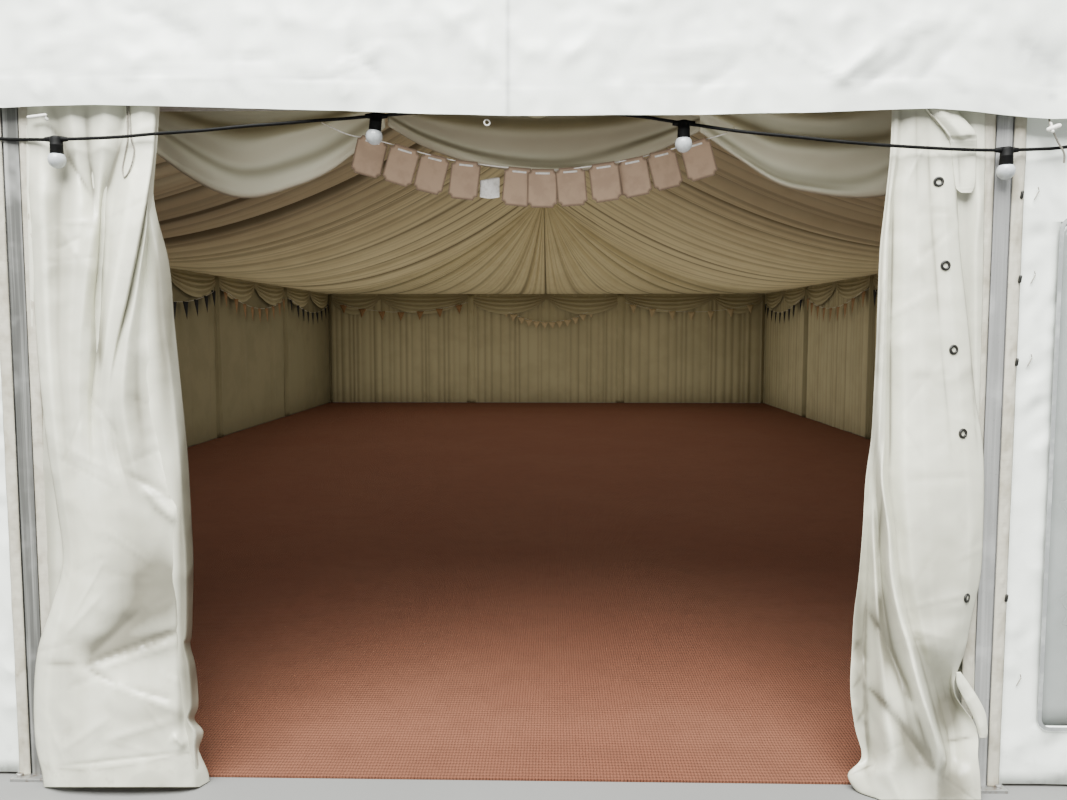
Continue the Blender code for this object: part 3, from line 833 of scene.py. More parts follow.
def front_walls():
    """Walls beside the doorway, each with a clear window behind a welded border."""
    for side, s in SIDES.items():
        node, pane = f"front_wall_{side}", f"front_window_{side}"
        lo, hi = low(node)[0], high(node)[0]
        hole_x = (low(pane)[0] + PANE_WELD, high(pane)[0] - PANE_WELD)
        hole_z = (low(pane)[2] + PANE_WELD, high(pane)[2] - PANE_WELD)
        wide, tall = hi - lo, BEAM_TOP - WALL_FOOT

        def to_share(x, z):
            return (x - lo) / wide - 0.5, (z - WALL_FOOT) / tall - 0.5

        def cut_window(bm):
            """Cuts the grid along the window's sides and takes out what lies inside."""
            for x in hole_x:
                cut_grid(bm, (to_share(x, 0)[0], 0, 0), (1, 0, 0))
            for z in hole_z:
                cut_grid(bm, (0, to_share(0, z)[1], 0), (0, 1, 0))
            inside = []
            for face in bm.faces:
                mid = face.calc_center_median()
                x = lo + (mid.x + 0.5) * wide
                z = WALL_FOOT + (mid.y + 0.5) * tall
                if hole_x[0] < x < hole_x[1] and hole_z[0] < z < hole_z[1]:
                    inside.append(face)
            bmesh.ops.delete(bm, geom=inside, context="FACES")

        place = wall_place(lo, hi, low(node)[1] + INSET, "Y", -1, 120 + s)
        size = (wide, tall)
        wall = cloth(f"front_cover_{side}", 70, 50, size, place, "cover", SHEET, [node], cut=cut_window)
        wide_pane = (low(pane)[0], high(pane)[0])
        tall_pane = (low(pane)[2], high(pane)[2])

        def pane_place(a, t):
            x = wide_pane[0] + (wide_pane[1] - wide_pane[0]) * a
            z = tall_pane[0] + (tall_pane[1] - tall_pane[0]) * t
            wave = 0.004 * rough(points(x, z, 0), 1.6, 7 + s)
            return points(x, low(pane)[1] + 0.012 + wave, z)

        film = cloth(f"window_film_{side}", 24, 20, (2.6, 1.6), pane_place, "window", FILM, [pane])
        window_border(side, hole_x, hole_z, low(node)[1])


def cut_grid(bm, point, normal):
    """Adds a straight line of cuts through a flat grid."""
    geom = bm.verts[:] + bm.edges[:] + bm.faces[:]
    bmesh.ops.bisect_plane(bm, geom=geom, dist=1e-5, plane_co=point, plane_no=normal)


def rounded_ring(bm, x, z, radius, y, steps=8):
    """A loop of edges round a rectangle with round corners, standing in the plane at y."""
    verts = []
    corners = [(x[1], z[1], 0), (x[0], z[1], 1), (x[0], z[0], 2), (x[1], z[0], 3)]
    for cx, cz, quarter in corners:
        ox = cx - math.copysign(radius, cx - sum(x) / 2)
        oz = cz - math.copysign(radius, cz - sum(z) / 2)
        for i in range(steps + 1):
            turn = math.pi / 2 * (quarter + i / steps)
            verts.append(bm.verts.new((ox + radius * math.cos(turn), y, oz + radius * math.sin(turn))))
    return [bm.edges.new(pair) for pair in zip(verts, verts[1:] + verts[:1])]


def window_border(side, hole_x, hole_z, wall_y):
    """The thin grey weld round a window's opening, with round corners."""
    bm = bmesh.new()
    inner = rounded_ring(bm, hole_x, hole_z, WINDOW_RADIUS, wall_y - 0.008)
    wide = (hole_x[0] - WELD, hole_x[1] + WELD)
    tall = (hole_z[0] - WELD, hole_z[1] + WELD)
    outer = rounded_ring(bm, wide, tall, WINDOW_RADIUS + WELD, wall_y - 0.007)
    bmesh.ops.bridge_loops(bm, edges=inner + outer)
    thicken(finish(f"window_weld_{side}", seal(bm), "weld", smooth=False), 0.0012)


# Uprights

SLOT_AT = 0.0262
SLOT_W = 0.0062
SLOT_D = 0.0100
GROOVE_AT, GROOVE_W, GROOVE_D = 0.030, 0.004, 0.006
PLATE = 0.16
BOLT_AT = 0.058
BOLT = [(0.0, 0.009), (0.0095, 0.009), (0.0105, 0.0075), (0.0105, 0.0), (0.0, 0.0)]


def profile_outline():
    """Corners of the aluminium section: a slot near each edge of its faces, and one in each side."""
    outline = []
    for face, turn in ((0.0, 1), (PROFILE_D, -1)):
        for at in (-SLOT_AT * turn, SLOT_AT * turn):
            for edge in (-SLOT_W / 2 * turn, SLOT_W / 2 * turn):
                pair = [(at + edge, face), (at + edge, face + SLOT_D * turn)]
                outline += pair if edge * turn < 0 else pair[::-1]
        corner = PROFILE_W / 2 * turn
        inner = corner - GROOVE_D * turn
        start = face + GROOVE_AT * turn - GROOVE_W / 2 * turn
        stop = face + GROOVE_AT * turn + GROOVE_W / 2 * turn
        outline += [(corner, face), (corner, start), (inner, start), (inner, stop), (corner, stop)]
        outline.append((corner, PROFILE_D if turn == 1 else 0.0))
    return outline


def upright(name, node, centre, across, inward, top_of, plate_at):
    """A leg or post of slotted section on its base plate, which has bolts and cheeks."""
    bm = bmesh.new()
    corners = [centre + across * a + inward * b for a, b in profile_outline()]
    face = bm.faces.new([bm.verts.new((p.x, p.y, PLATE_T)) for p in corners])
    grown = bmesh.ops.extrude_face_region(bm, geom=[face])["geom"]
    for vert in [g for g in grown if isinstance(g, bmesh.types.BMVert)]:
        vert.co.z = top_of(vert.co)
    seal(bm)
    # The front left post takes the darker copy of the aluminium, as painted shade
    finish(name, bm, "aluminium_painted_shade" if name == "post_bar_front_left" else "aluminium", [node], smooth=False)
    plate = bmesh.new()
    box_at(plate, (plate_at.x, plate_at.y, PLATE_T / 2), (PLATE, PLATE, PLATE_T))
    for a in (-1, 1):
        for b in (-1, 1):
            spot = plate_at + across * a * BOLT_AT + inward * b * BOLT_AT
            turned(plate, BOLT, (spot.x, spot.y, PLATE_T - 0.0005), steps=6)
    for a in (-1, 1):
        spot = plate_at + across * a * (PROFILE_W / 2 + 0.004)
        cheek = across * 0.006 + inward * 0.07
        box_at(plate, (spot.x, spot.y, PLATE_T + 0.015), (abs(cheek.x), abs(cheek.y), 0.03))
    bmesh.ops.recalc_face_normals(plate, faces=plate.faces)
    base = finish(name + "_base", plate, "steel", smooth=False)
    soft = base.modifiers.new("round", "BEVEL")
    soft.width = 0.0012
    soft.segments = 2
    soft.limit_method = "ANGLE"


def box_at(bm, centre, size):
    """Adds a box to bm."""
    made = bmesh.ops.create_cube(bm, size=1.0)["verts"]
    bmesh.ops.scale(bm, vec=size, verts=made)
    bmesh.ops.translate(bm, vec=centre, verts=made)
    for vert in made:
        vert.tag = True


def uprights():
    """All legs and gable posts."""
    clear = 0.0004
    for side, s in SIDES.items():
        for k, y in enumerate(FRAME_Y, 1):
            def leg_top(p, s=s):
                depth = HALF - abs(p.x)
                return EAVE + depth * SLOPE - depth / SKEW - clear
            upright(
                f"leg_bar_{side}_{k}",
                f"leg_{side}_{k}",
                Vector((s * HALF, y)),
                Vector((0, 1)),
                Vector((-s, 0)),
                leg_top,
                Vector((s * (HALF - PROFILE_D / 2), y)),
            )
    for end, e in ENDS.items():
        for side, s in SIDES.items():
            def post_top(p):
                return EAVE + (HALF - abs(p.x)) * SLOPE - (PROFILE_D + clear) / SKEW
            upright(
                f"post_bar_{end}_{side}",
                f"gable_post_{end}_{side}",
                Vector((s * POST_X, e * FRONT)),
                Vector((1, 0)),
                Vector((0, -e)),
                post_top,
                Vector((s * POST_X, e * (FRONT - PROFILE_D / 2))),
            )


# Edge webbing beside the uprights

STRIP_OVERLAP = 0.0066
STRIP_W = 0.036
STRIP_T = 0.0012
PROUD = 0.0004


def strip_place(edge, outward, plane, out, axis, seed):
    """Places of a puckered webbing strip that starts at an upright's slot and lies over the wall's edge."""
    foot, top = WALL_FOOT, BEAM_TOP - 0.003

    def place(s, t):
        z = foot + (top - foot) * t
        ragged = 0.0016 * rough(points(z * 3, s, 0), 4.0, seed)
        a = edge + outward * (STRIP_W * s + ragged * s)
        pucker = 0.0026 * (rough(points(z, s * 0.2, 0), 42.0, seed + 1) + 0.6) * np.sin(math.pi * s)
        gather = 0.0022 * rough(points(z, s * 0.5, 0), 13.0, seed + 2)
        crest = 0.003 * np.sin(math.pi * s) ** 0.5
        depth = plane + out * (0.0012 + crest + pucker + gather * np.sin(math.pi * s))
        return points(depth, a, z) if axis == "X" else points(a, depth, z)

    return place


def edge_strip(name, cells, place):
    """A strip of webbing, held along one edge by the bar of an upright."""
    strip = cloth(name, *cells, (STRIP_W, 2.2), place, "webbing", STRIP_T)


def webbing_strips():
    """Strips along both sides of every upright, but for the outer sides of the corner legs."""
    reach = PROFILE_W / 2 - STRIP_OVERLAP
    count = 0
    for side, s in SIDES.items():
        for k, y in enumerate(FRAME_Y, 1):
            for turn, letter in ((-1, "a"), (1, "b")):
                if (k == 1 and turn < 0) or (k == FRAMES and turn > 0):
                    continue
                count += 1
                place = strip_place(y + turn * reach, turn, s * (HALF + PROUD), s, "X", count)
                edge_strip(f"edge_strip_{side}_{k}_{letter}", (4, 100), place)
    for end, e in ENDS.items():
        cells = (8, 340) if end == "front" else (8, 100)
        for side, s in SIDES.items():
            for turn, letter in ((-1, "a"), (1, "b")):
                count += 1
                place = strip_place(s * POST_X + turn * reach, turn, e * (FRONT + PROUD), e, "Y", count)
                edge_strip(f"edge_strip_{end}_{side}_{letter}", cells, place)


# Door sheets: nets of pixel columns and distances in front of the posts' face, in millimetres

DOOR_T = 0.0014
LEFT_FRONT = {
    100: [(27, 4), (40, 12), (50, 1), (68, 12), (85, 2), (106, 13), (125, -4), (130, 8), (143, 20), (153, 14),
        (158, 2), (158.5, 0), (159, -2), (159.5, -4), (160, -6)],
    150: [(28, 4), (42, 14), (65, 1), (76, 13), (88, 1), (103, 13), (117, -4), (122, 8), (136, 23), (152, 21),
        (154.5, 3), (155, 1), (155.5, -1), (156, -3), (156.5, -5)],
    195: [(29, 6), (42, 26), (60, 8), (80, 20), (94, 0), (99, 6), (105, -6), (116, 12), (130, 36), (146, 38),
        (148, 18), (148.5, 18), (149, 14), (151, 6), (153, -4)],
    232: [(31, 8), (44, 26), (58, 14), (78, 28), (92, 22), (98, 12), (102, -6), (111, 14), (124, 40),
        (139.5, 40), (141.8, 22), (145.5, 28), (148, 14), (150, 6), (153, -4)],
    262: [(33, 10), (45, 26), (58, 16), (74, 30), (88, 30), (96, 16), (100, -4), (109, 16), (119, 42),
        (133.5, 42), (136, 25), (141, 31), (145.5, 16), (148, 8), (152, -2)],
    300: [(34, 12), (46, 28), (58, 20), (72, 32), (84, 34), (92, 20), (97, -2), (105, 16), (112, 42),
        (125.5, 42), (128, 27), (135, 33), (142, 20), (148, 12), (156, 0)],
    345: [(37, 16), (48, 32), (58, 26), (70, 36), (80, 36), (90, 26), (97, 8), (101, 20), (106, 40),
        (115, 40), (118, 34), (127, 38), (138, 24), (148, 18), (160, 4)],
    400: [(42, 24), (52, 40), (62, 36), (71, 42), (79, 42), (87, 34), (92, 24), (96, 34), (101, 42),
        (107, 44), (113, 43), (123, 44), (138, 26), (152, 24), (168, 10)],
    450: [(48, 32), (57, 48), (66, 46), (74, 50), (81, 50), (88, 46), (94, 40), (100, 44), (106, 48),
        (112, 44), (118, 38), (130, 46), (144, 38), (160, 34), (175, 16)],
    500: [(56, 40), (64, 56), (72, 58), (80, 58), (87, 58), (94, 56), (101, 54), (108, 54), (116, 54),
        (124, 54), (132, 52), (142, 52), (153, 50), (168, 48), (178, 42)],
    560: [(63, 48), (72, 62), (80, 66), (88, 68), (96, 68), (104, 66), (112, 64), (120, 62), (128, 60),
        (136, 58), (144, 57), (153, 56), (162, 54), (173, 52), (181, 45)],
    605: [(52, 54), (63, 68), (74, 74), (85, 76), (95, 76), (105, 74), (114, 70), (123, 66), (132, 64),
        (141, 62), (149, 63), (157, 62), (165, 60), (175, 58), (181.5, 50)],
    650: [(38, 58), (52, 76), (65, 82), (78, 84), (91, 82), (103, 78), (115, 74), (126, 72), (137, 72),
        (147, 70), (156, 69), (164, 68), (171, 66), (178, 63), (182.5, 54)],
    700: [(34, 62), (48, 82), (62, 90), (76, 94), (90, 96), (104, 96), (117, 94), (130, 92), (142, 90),
        (152, 86), (161, 83), (169, 80), (176, 75), (182, 69), (187, 58)],
    745: [(36, 68), (50, 86), (64, 94), (78, 98), (92, 100), (106, 100), (120, 98), (134, 96), (147, 94),
        (158, 92), (168, 90), (176, 87), (184, 81), (190, 74), (197, 60)],
    772: [(42, 74), (55, 90), (68, 96), (81, 100), (95, 102), (109, 102), (123, 101), (137, 100), (150, 98),
        (162, 96), (174, 92), (184, 86), (193, 78), (200, 66), (208, 50)],
    787: [(44, 74), (57, 90), (70, 96), (83, 100), (97, 102), (111, 102), (125, 101), (139, 99), (152, 97),
        (164, 94), (176, 90), (186, 84), (195, 76), (202, 64), (210, 48)],
}
LEFT_BACK = {
    100: [(26, 2), (60, -10), (90, -10), (120, -16), (140, -12), (152, -8), (160, -10)],
    190: [(27, 2), (60, -10), (90, -10), (120, -14), (138, -8), (147, -4), (153, -12)],
    262: [(29, 2), (60, -8), (90, -8), (120, -10), (145, 0), (158, 10), (169, -6)],
    321: [(31, 2), (64, -8), (94, -4), (124, -4), (150, 8), (163, 16), (174.5, -4)],
    375: [(33, 2), (68, -4), (98, 0), (128, 2), (156, 14), (170, 20), (180, -2)],
    451: [(36, 2), (56, 8), (84, 2), (128, 8), (166, 22), (178, 26), (187.5, 0)],
    520: [(39, 2), (58, 12), (80, 6), (126, 14), (172, 28), (183, 32), (191.5, 4)],
    566: [(40, 2), (58, 14), (80, 8), (126, 18), (176, 32), (186, 36), (193.4, 6)],
    630: [(42, 2), (56, 12), (80, 10), (126, 22), (176, 36), (186, 40), (192, 8)],
    645: [(42, 2), (56, 10), (80, 12), (126, 24), (176, 38), (184, 40), (190.3, 8)],
    668: [(40, 4), (60, 12), (84, 16), (130, 26), (180, 42), (189, 44), (196, 10)],
    704: [(38, 8), (66, 18), (96, 24), (146, 30), (183, 44), (191, 46), (198.5, 12)],
    719: [(38, 10), (72, 26), (108, 30), (146, 32), (182, 46), (188, 48), (194.5, 14)],
    732: [(38, 12), (74, 28), (110, 32), (148, 34), (186, 48), (195, 50), (203.5, 16)],
    749: [(40, 16), (76, 30), (112, 34), (150, 36), (188, 50), (195, 50), (199, 20)],
    770: [(44, 20), (80, 32), (116, 36), (154, 38), (190, 48), (197, 46), (203, 30)],
}
RIGHT_FRONT = {
    100: [(900, -14), (892.5, 2), (893.5, 6), (894.5, 9), (896, 11), (898, 11), (901, 5), (908, 12),
        (916, 16), (928, 13), (940, 17), (950, 12)],
    150: [(899, -16), (891, 3), (892, 7), (893, 10), (894.5, 12), (896.5, 12), (900, 6), (908, 14), (917, 18),
        (929, 15), (941, 19), (953, 13)],
    200: [(896, -22), (886, 6), (887, 13), (888, 18), (889, 20), (890.5, 20), (893.5, 8), (904, 20),
        (917, 25), (932, 25), (944, 28), (957, 19)],
    250: [(892, -20), (880.5, 8), (882, 17), (884, 23), (886, 25), (888, 23), (892, 10), (904, 24), (918, 31),
        (934, 29), (947, 30), (960, 20)],
    310: [(888, -18), (878, 12), (879.5, 21), (881.5, 28), (884, 31), (886.5, 28), (890.5, 14), (904, 30),
        (920, 37), (938, 35), (952, 34), (966.5, 22)],
    350: [(886, -16), (876.5, 14), (878, 24), (880, 32), (883, 35), (886, 31), (890.5, 17), (904, 35),
        (921, 41), (941, 38), (955, 36), (970.5, 24)],
    400: [(884, -14), (874, 16), (875.5, 27), (878, 36), (881, 40), (885, 35), (890.5, 20), (905, 41),
        (923, 47), (946, 43), (960, 40), (975.5, 26)],
    438: [(880, -12), (871.6, 16), (873, 25), (875.5, 32), (879, 42), (884, 40), (890.5, 25), (905, 47),
        (925, 51), (950, 48), (964, 44), (982, 30)],
    480: [(876, -12), (866, 12), (869, 12), (872.5, 14), (876.5, 24), (882, 50), (889.5, 29), (905, 51),
        (926, 57), (953, 54), (967, 48), (984, 32)],
    530: [(874, -12), (863, 10), (867.5, 6), (873, 22), (879, 17), (888, 54), (896, 37), (909, 57), (928, 61),
        (955, 58), (969, 52), (983, 34)],
    575: [(872, -12), (859, 10), (867.5, 2), (875, 30), (881, 22), (891, 60), (900, 45), (913, 61), (930, 65),
        (955, 60), (968, 54), (980.5, 36)],
    615: [(870, -12), (854, 10), (865.5, 2), (877, 38), (885, 30), (899, 68), (908, 50), (920, 64), (934, 68),
        (953, 62), (963, 54), (972, 38)],
    650: [(868, -12), (852, 10), (864, 4), (880, 45), (892, 38), (909, 77), (918, 56), (928, 68), (938, 70),
        (951, 63), (958, 54), (965, 40)],
    690: [(868, -12), (850.5, 12), (865.5, 8), (884, 56), (902, 52), (920, 86), (929, 34), (936, 12),
        (944, 6), (950, 10), (952, 22), (954, 30)],
    727: [(870, -8), (855, 14), (867, 12), (888, 66), (910, 64), (932, 92), (939, 40), (946, 12), (954, 14),
        (962, 24), (970, 30), (976, 36)],
    757: [(876, 0), (862, 22), (869, 24), (892, 76), (916, 76), (941, 96), (946, 50), (950, 34), (956, 34),
        (962, 40), (970, 46), (978, 50)],
    776: [(874, 26), (848, 40), (866, 56), (890, 88), (914, 90), (936, 98), (944, 84), (950, 74), (957, 70),
        (964, 70), (972, 70), (980, 66)],
    800: [(884, 40), (864, 60), (880, 84), (900, 100), (918, 104), (936, 108), (946, 102), (954, 98),
        (962, 94), (970, 92), (976, 90), (981, 86)],
}
RIGHT_BACK = {
    100: [(899, -14), (915, -20), (935, -14), (950, -8), (962, -2), (975, 4), (985, 2)],
    160: [(898, -12), (915, -18), (935, -12), (950, -4), (964, -2), (976, 8), (985, 2)],
    205: [(896, -10), (915, -16), (935, -10), (950, -2), (966, -4), (979, 12), (984, 2)],
    250: [(894, -10), (915, -14), (935, -8), (952, 2), (966, -2), (976, 10), (983.5, 2)],
    300: [(892, -8), (915, -12), (935, -6), (954, 6), (966, -2), (976, 8), (982.5, 2)],
    350: [(890, -8), (915, -10), (935, -4), (956, 8), (968, 0), (976, 6), (981, 2)],
    420: [(888, -6), (915, -8), (935, -2), (956, 8), (968, 2), (976, 4), (979, 2)],
    560: [(886, -6), (912, -6), (934, 0), (954, 8), (966, 4), (974, 2), (976, 0)],
    680: [(884, -40), (910, -42), (932, -42), (950, -40), (962, -34), (970, -24), (974, -16)],
    778: [(884, -40), (908, -42), (930, -42), (948, -40), (960, -34), (968, -24), (972, -16)],
}
RELIEF = 0.9
CRISP = 0.45
FLOOR_CLEAR = 0.004
LIES = {}


def ahead_of(name, u, v):
    """Distance in front of the posts' face at which a door sheet shows at a pixel."""
    us, vs, aheads = LIES[name]
    return float(aheads[np.argmin((us - u) ** 2 + (vs - v) ** 2)])


def net_place(name, net, crumples, shades, lines, wander, seed, on=""):
    """Places of a hanging sheet from a net of pixels and distances, with its creases, and a mask of painted
    shade: in valleys, dented creases, spots and lines, and taken off on crests as a painted highlight.

    A flap's distances count from the sheet that it lies on.
    """
    levels = sorted(net)
    heights = np.array(levels, float)
    columns = np.array([net[level] for level in levels], float)
    relief = RELIEF if not on else 0.0
    middle = columns[:, :, 1].mean(axis=1, keepdims=True)
    grown = 1 + relief * np.clip((heights[:, None] - 140) / 90, 0, 1)
    columns[:, :, 1] = middle + (columns[:, :, 1] - middle) * grown

    def lie(s, rows):
        """Pixels and distance ahead at shares of the width."""
        smooth = smooth_weights(columns.shape[1], s)
        sharp = smooth_weights(columns.shape[1], s, CRISP)
        u = np.einsum("ir,rc,ic->i", rows, columns[:, :, 0], smooth)
        return u, np.einsum("ir,rc,ic->i", rows, columns[:, :, 1], sharp) / 1000

    def place(s, t):
        rows = smooth_weights(len(levels), 1 - t)
        v = rows @ heights
        u, ahead = lie(s, rows)
        beside = (lie(np.clip(s - 0.02, 0, 1), rows)[1] + lie(np.clip(s + 0.02, 0, 1), rows)[1]) / 2
        folds = creased(u, v, crumples)
        # Painted shade: a faint tint everywhere that the crests lose, which reads as a painted highlight, and
        # more in valleys and dented creases
        shade_and_marks = 0.22 - 0.24 * np.clip((ahead - beside) / 0.004, 0, 1)
        shade_and_marks = shade_and_marks + np.clip((beside - ahead) / 0.008, 0, 1) * 0.6 + np.clip(-folds / 0.012, 0, 1) * 0.45
        # Spots and lines of painted shade
        for spot_u, spot_v, wide, tall, strength in shades:
            shade_and_marks = shade_and_marks + strength * np.exp(-(((u - spot_u) / wide) ** 2) - ((v - spot_v) / tall) ** 2)
        shade_and_marks = shade_and_marks + creased(u, v, lines)
        level = points(u / NEAR_SCALE, v / NEAR_SCALE, 0)
        ridges = 1 - 2 * np.abs(rough(level, 5.0, seed))
        fine = 1 - 2 * np.abs(rough(level, 13.0, seed + 1))
        ahead = ahead + folds + wander * (ridges + 0.4 * fine) * np.clip((v - 108) / 30, 0.15, 1)
        if on:
            ahead = ahead + np.array([ahead_of(on, a, b) for a, b in zip(u, v)])
        LIES[name] = (u, v, ahead)
        where = seen(u, v, -FRONT - ahead)
        where[:, 2] = np.maximum(where[:, 2], FLOOR_CLEAR + 0.001 * np.abs(rough(level, 12.0, seed + 2)))
        return where, np.clip(shade_and_marks, 0, 1)

    return place


LEFT_CREASES = [
    ((78, 668), (146, 606), -0.016, 13.0), ((80, 667), (184, 629), -0.013, 3.2),
    ((86, 672), (186, 640), 0.008, 4.0), ((82, 664), (122, 688), -0.008, 4.0),
    ((118, 686), (178, 700), -0.008, 4.0), ((90, 676), (190, 716), 0.012, 8.0),
    ((140, 486), (180, 524), 0.012, 5.0), ((120, 470), (178, 500), -0.008, 4.0),
    ((36, 664), (84, 665), -0.005, 2.5), ((100, 742), (186, 716), 0.009, 8.0),
    ((52, 767), (206, 750), -0.005, 1.8), ((44, 112), (94, 200), -0.009, 3.0),
    ((87, 104), (95, 200), -0.007, 2.5), ((60, 226), (80, 262), 0.008, 4.0),
    ((56, 250), (82, 236), -0.006, 3.0), ((172, 734), (186, 748), 0.012, 4.0),
    ((150, 300), (150, 380), 0.008, 3.0), ((106, 590), (60, 640), 0.006, 6.0),
    ((112, 716), (60, 752), 0.006, 6.0),
]
RIGHT_CREASES = [
    ((865, 600), (918, 712), -0.022, 5.0), ((866, 684), (938, 778), -0.018, 5.0),
    ((880, 470), (900, 600), 0.010, 4.0), ((898, 598), (942, 762), 0.016, 5.0),
    ((915, 214), (958, 210), -0.003, 2.0), ((905, 628), (955, 640), 0.006, 8.0),
    ((914, 250), (935, 300), 0.005, 4.0), ((928, 140), (940, 330), -0.004, 2.0),
    ((905, 480), (975, 476), -0.003, 3.0), ((852, 660), (868, 690), 0.008, 3.0),
    ((854, 640), (868, 664), -0.008, 3.0), ((852, 700), (868, 726), 0.008, 3.0),
    ((900, 380), (962, 372), -0.003, 2.5),
]
# Spots of painted shade, each: pixel place, width, height and strength
LEFT_PAINTED_SHADE = [
    (158, 588, 34, 46, 1.00), (120, 646, 42, 10, 0.65), (62, 260, 24, 90, 0.20), (60, 150, 14, 40, 0.26),
    (102, 340, 5, 60, 0.40), (160, 716, 40, 12, 0.42), (60, 690, 20, 60, 0.16), (181, 640, 4, 90, 0.70),
    (60, 470, 14, 100, 0.22), (140, 420, 20, 80, 0.52), (112, 560, 26, 50, 0.22),
]
# Painted shade along lines, each: ends in pixels, strength and width
LEFT_SHADE_LINES = [
    ((124.5, 132), (105, 200), 0.96, 2.4), ((105, 190), (97.5, 312), 0.99, 2.2),
    ((97, 300), (101, 372), 0.64, 2.0), ((44, 116), (94, 201), 0.64, 1.6),
    ((85.5, 110), (90, 170), 0.48, 1.4), ((90, 160), (95, 204), 0.54, 1.6),
    ((147.5, 196), (136, 258), 0.30, 1.3), ((136.5, 252), (120, 340), 0.30, 1.3),
    ((84, 664), (122, 648), 0.80, 2.4), ((118, 649), (184, 629), 0.80, 2.6),
    ((83, 666), (122, 687), 0.42, 2.8), ((120, 686), (180, 701), 0.38, 2.8),
    ((46, 663.5), (84, 664.5), 0.42, 2.4), ((52, 768), (90, 771), 0.40, 2.2),
    ((88, 771), (144, 764), 0.40, 2.2), ((142, 764), (207, 748), 0.40, 2.2),
    ((142, 495), (179, 498), 0.48, 2.4), ((148, 503), (178, 526), 0.40, 2.8),
    ((92, 656), (182, 566), 0.48, 7.0), ((177, 497), (186, 700), 0.61, 1.6),
]
RIGHT_SHADE_LINES = [
    ((928, 140), (930, 206), 0.42, 1.0), ((929.5, 200), (940, 332), 0.42, 1.0),
    ((939.5, 326), (952, 470), 0.35, 1.0), ((953, 150), (958, 228), 0.54, 1.0),
    ((957.5, 222), (970, 336), 0.48, 1.0), ((969, 330), (978, 470), 0.38, 1.0),
    ((916, 104), (917, 206), 0.38, 1.6), ((893.5, 198), (891, 335), 0.88, 1.1),
    ((890.5, 326), (890, 468), 0.88, 1.1), ((883, 488), (878, 560), 0.64, 1.6),
    ((877, 590), (887, 648), 0.96, 2.2), ((886, 644), (914, 705), 0.96, 2.2),
    ((912, 702), (936, 772), 0.80, 2.0), ((867, 608), (887, 647), 0.64, 1.4),
    ((867, 686), (893, 709), 0.70, 1.4), ((892, 708), (936, 771), 0.64, 1.4),
    ((852, 652), (868, 634), 0.48, 1.2), ((851, 690), (867, 668), 0.48, 1.2),
    ((855, 724), (868, 704), 0.48, 1.2), ((866, 604), (864, 694), 0.58, 1.4),
    ((864, 692), (868, 756), 0.58, 1.4), ((848, 776), (874, 764), 0.58, 1.2),
    ((944, 742), (976, 736), 0.64, 1.4),
]
# More spots of painted shade, for the returns and the right sheet
LEFT_BACK_PAINTED_SHADE = [
    (162, 260, 11, 90, 0.80), (168, 360, 12, 100, 0.62), (186, 500, 10, 120, 0.85), (190, 640, 12, 110, 0.95),
    (46, 560, 12, 200, 0.60),
]
RIGHT_PAINTED_SHADE = [
    (948, 711, 15, 24, 0.95), (952, 786, 26, 30, 0.85), (858, 640, 7, 100, 0.60), (883, 650, 7, 56, 0.75),
    (908, 752, 22, 22, 0.62), (905, 118, 26, 11, 0.50), (955, 118, 24, 12, 0.45), (925, 640, 16, 70, 0.30),
    (922, 550, 26, 60, 0.16), (950, 560, 24, 120, 0.20),
]
RIGHT_BACK_PAINTED_SHADE = [
    (966, 250, 6, 160, 0.25), (960, 600, 30, 120, 0.3),
]
CORNER_FLAP = {
    106: [(923, 4), (925, 10), (927, 5), (940, 14), (951, 12), (956, 5)],
    114: [(929, 4), (931, 12), (933, 6), (944, 18), (955, 15), (960, 6)],
    122: [(936, 4), (938, 13), (940, 7), (950, 21), (962, 17), (967, 8)],
    130: [(943, 4), (945, 12), (947, 8), (957, 23), (969, 19), (974, 9)],
    136: [(947, 4), (949, 10), (951, 8), (961, 22), (972, 19), (976.5, 10)],
    142: [(950, 3), (952, 6), (954, 6), (961, 9), (970, 13), (976.5, 8)],
    150: [(951.5, 2), (954, 2.5), (957, 3), (963, 3.5), (970, 5), (976, 4)],
    166: [(953, 2), (955.5, 2), (959, 2.5), (965, 3), (971, 4), (975.5, 3)],
    182: [(955, 2), (957.5, 2), (961, 2.5), (966, 3), (971, 4), (975, 3)],
    189: [(956.5, 2), (959, 2), (962, 2.5), (966, 3), (970, 3.5), (973.5, 2)],
    193: [(962, 2), (963.5, 2), (965.5, 2.5), (967.5, 2.5), (969.5, 2.5), (971, 2)],
}
# Painted shade on the corner flap: spots, then lines
CORNER_PAINTED_SHADE = [
    (969.5, 136.5, 4.0, 3.0, 0.55), (953, 138, 6, 5, 0.25), (962, 160, 4, 14, 0.15),
]
CORNER_SHADE_LINES = [
    ((927, 108), (951, 140), 0.88, 1.1), ((955, 136), (965, 141), 0.40, 1.4),
    ((958, 150), (960, 190), 0.48, 1.0),
]
FOOT_FLAP = {
    672: [(956.5, 3), (957.5, 4), (959, 4), (960.5, 3)],
    684: [(957, 5), (960, 10), (965, 12), (969, 7)],
    698: [(963.5, 5), (968, 12), (974, 14), (978, 8)],
    712: [(971, 6), (975, 14), (981, 16), (985, 9)],
    724: [(976, 6), (979, 14), (983.5, 15), (987, 9)],
    733: [(978.5, 5), (981, 11), (984.5, 12), (987.5, 8)],
    738: [(980, 4), (982, 7), (984, 7), (986, 5)],
}


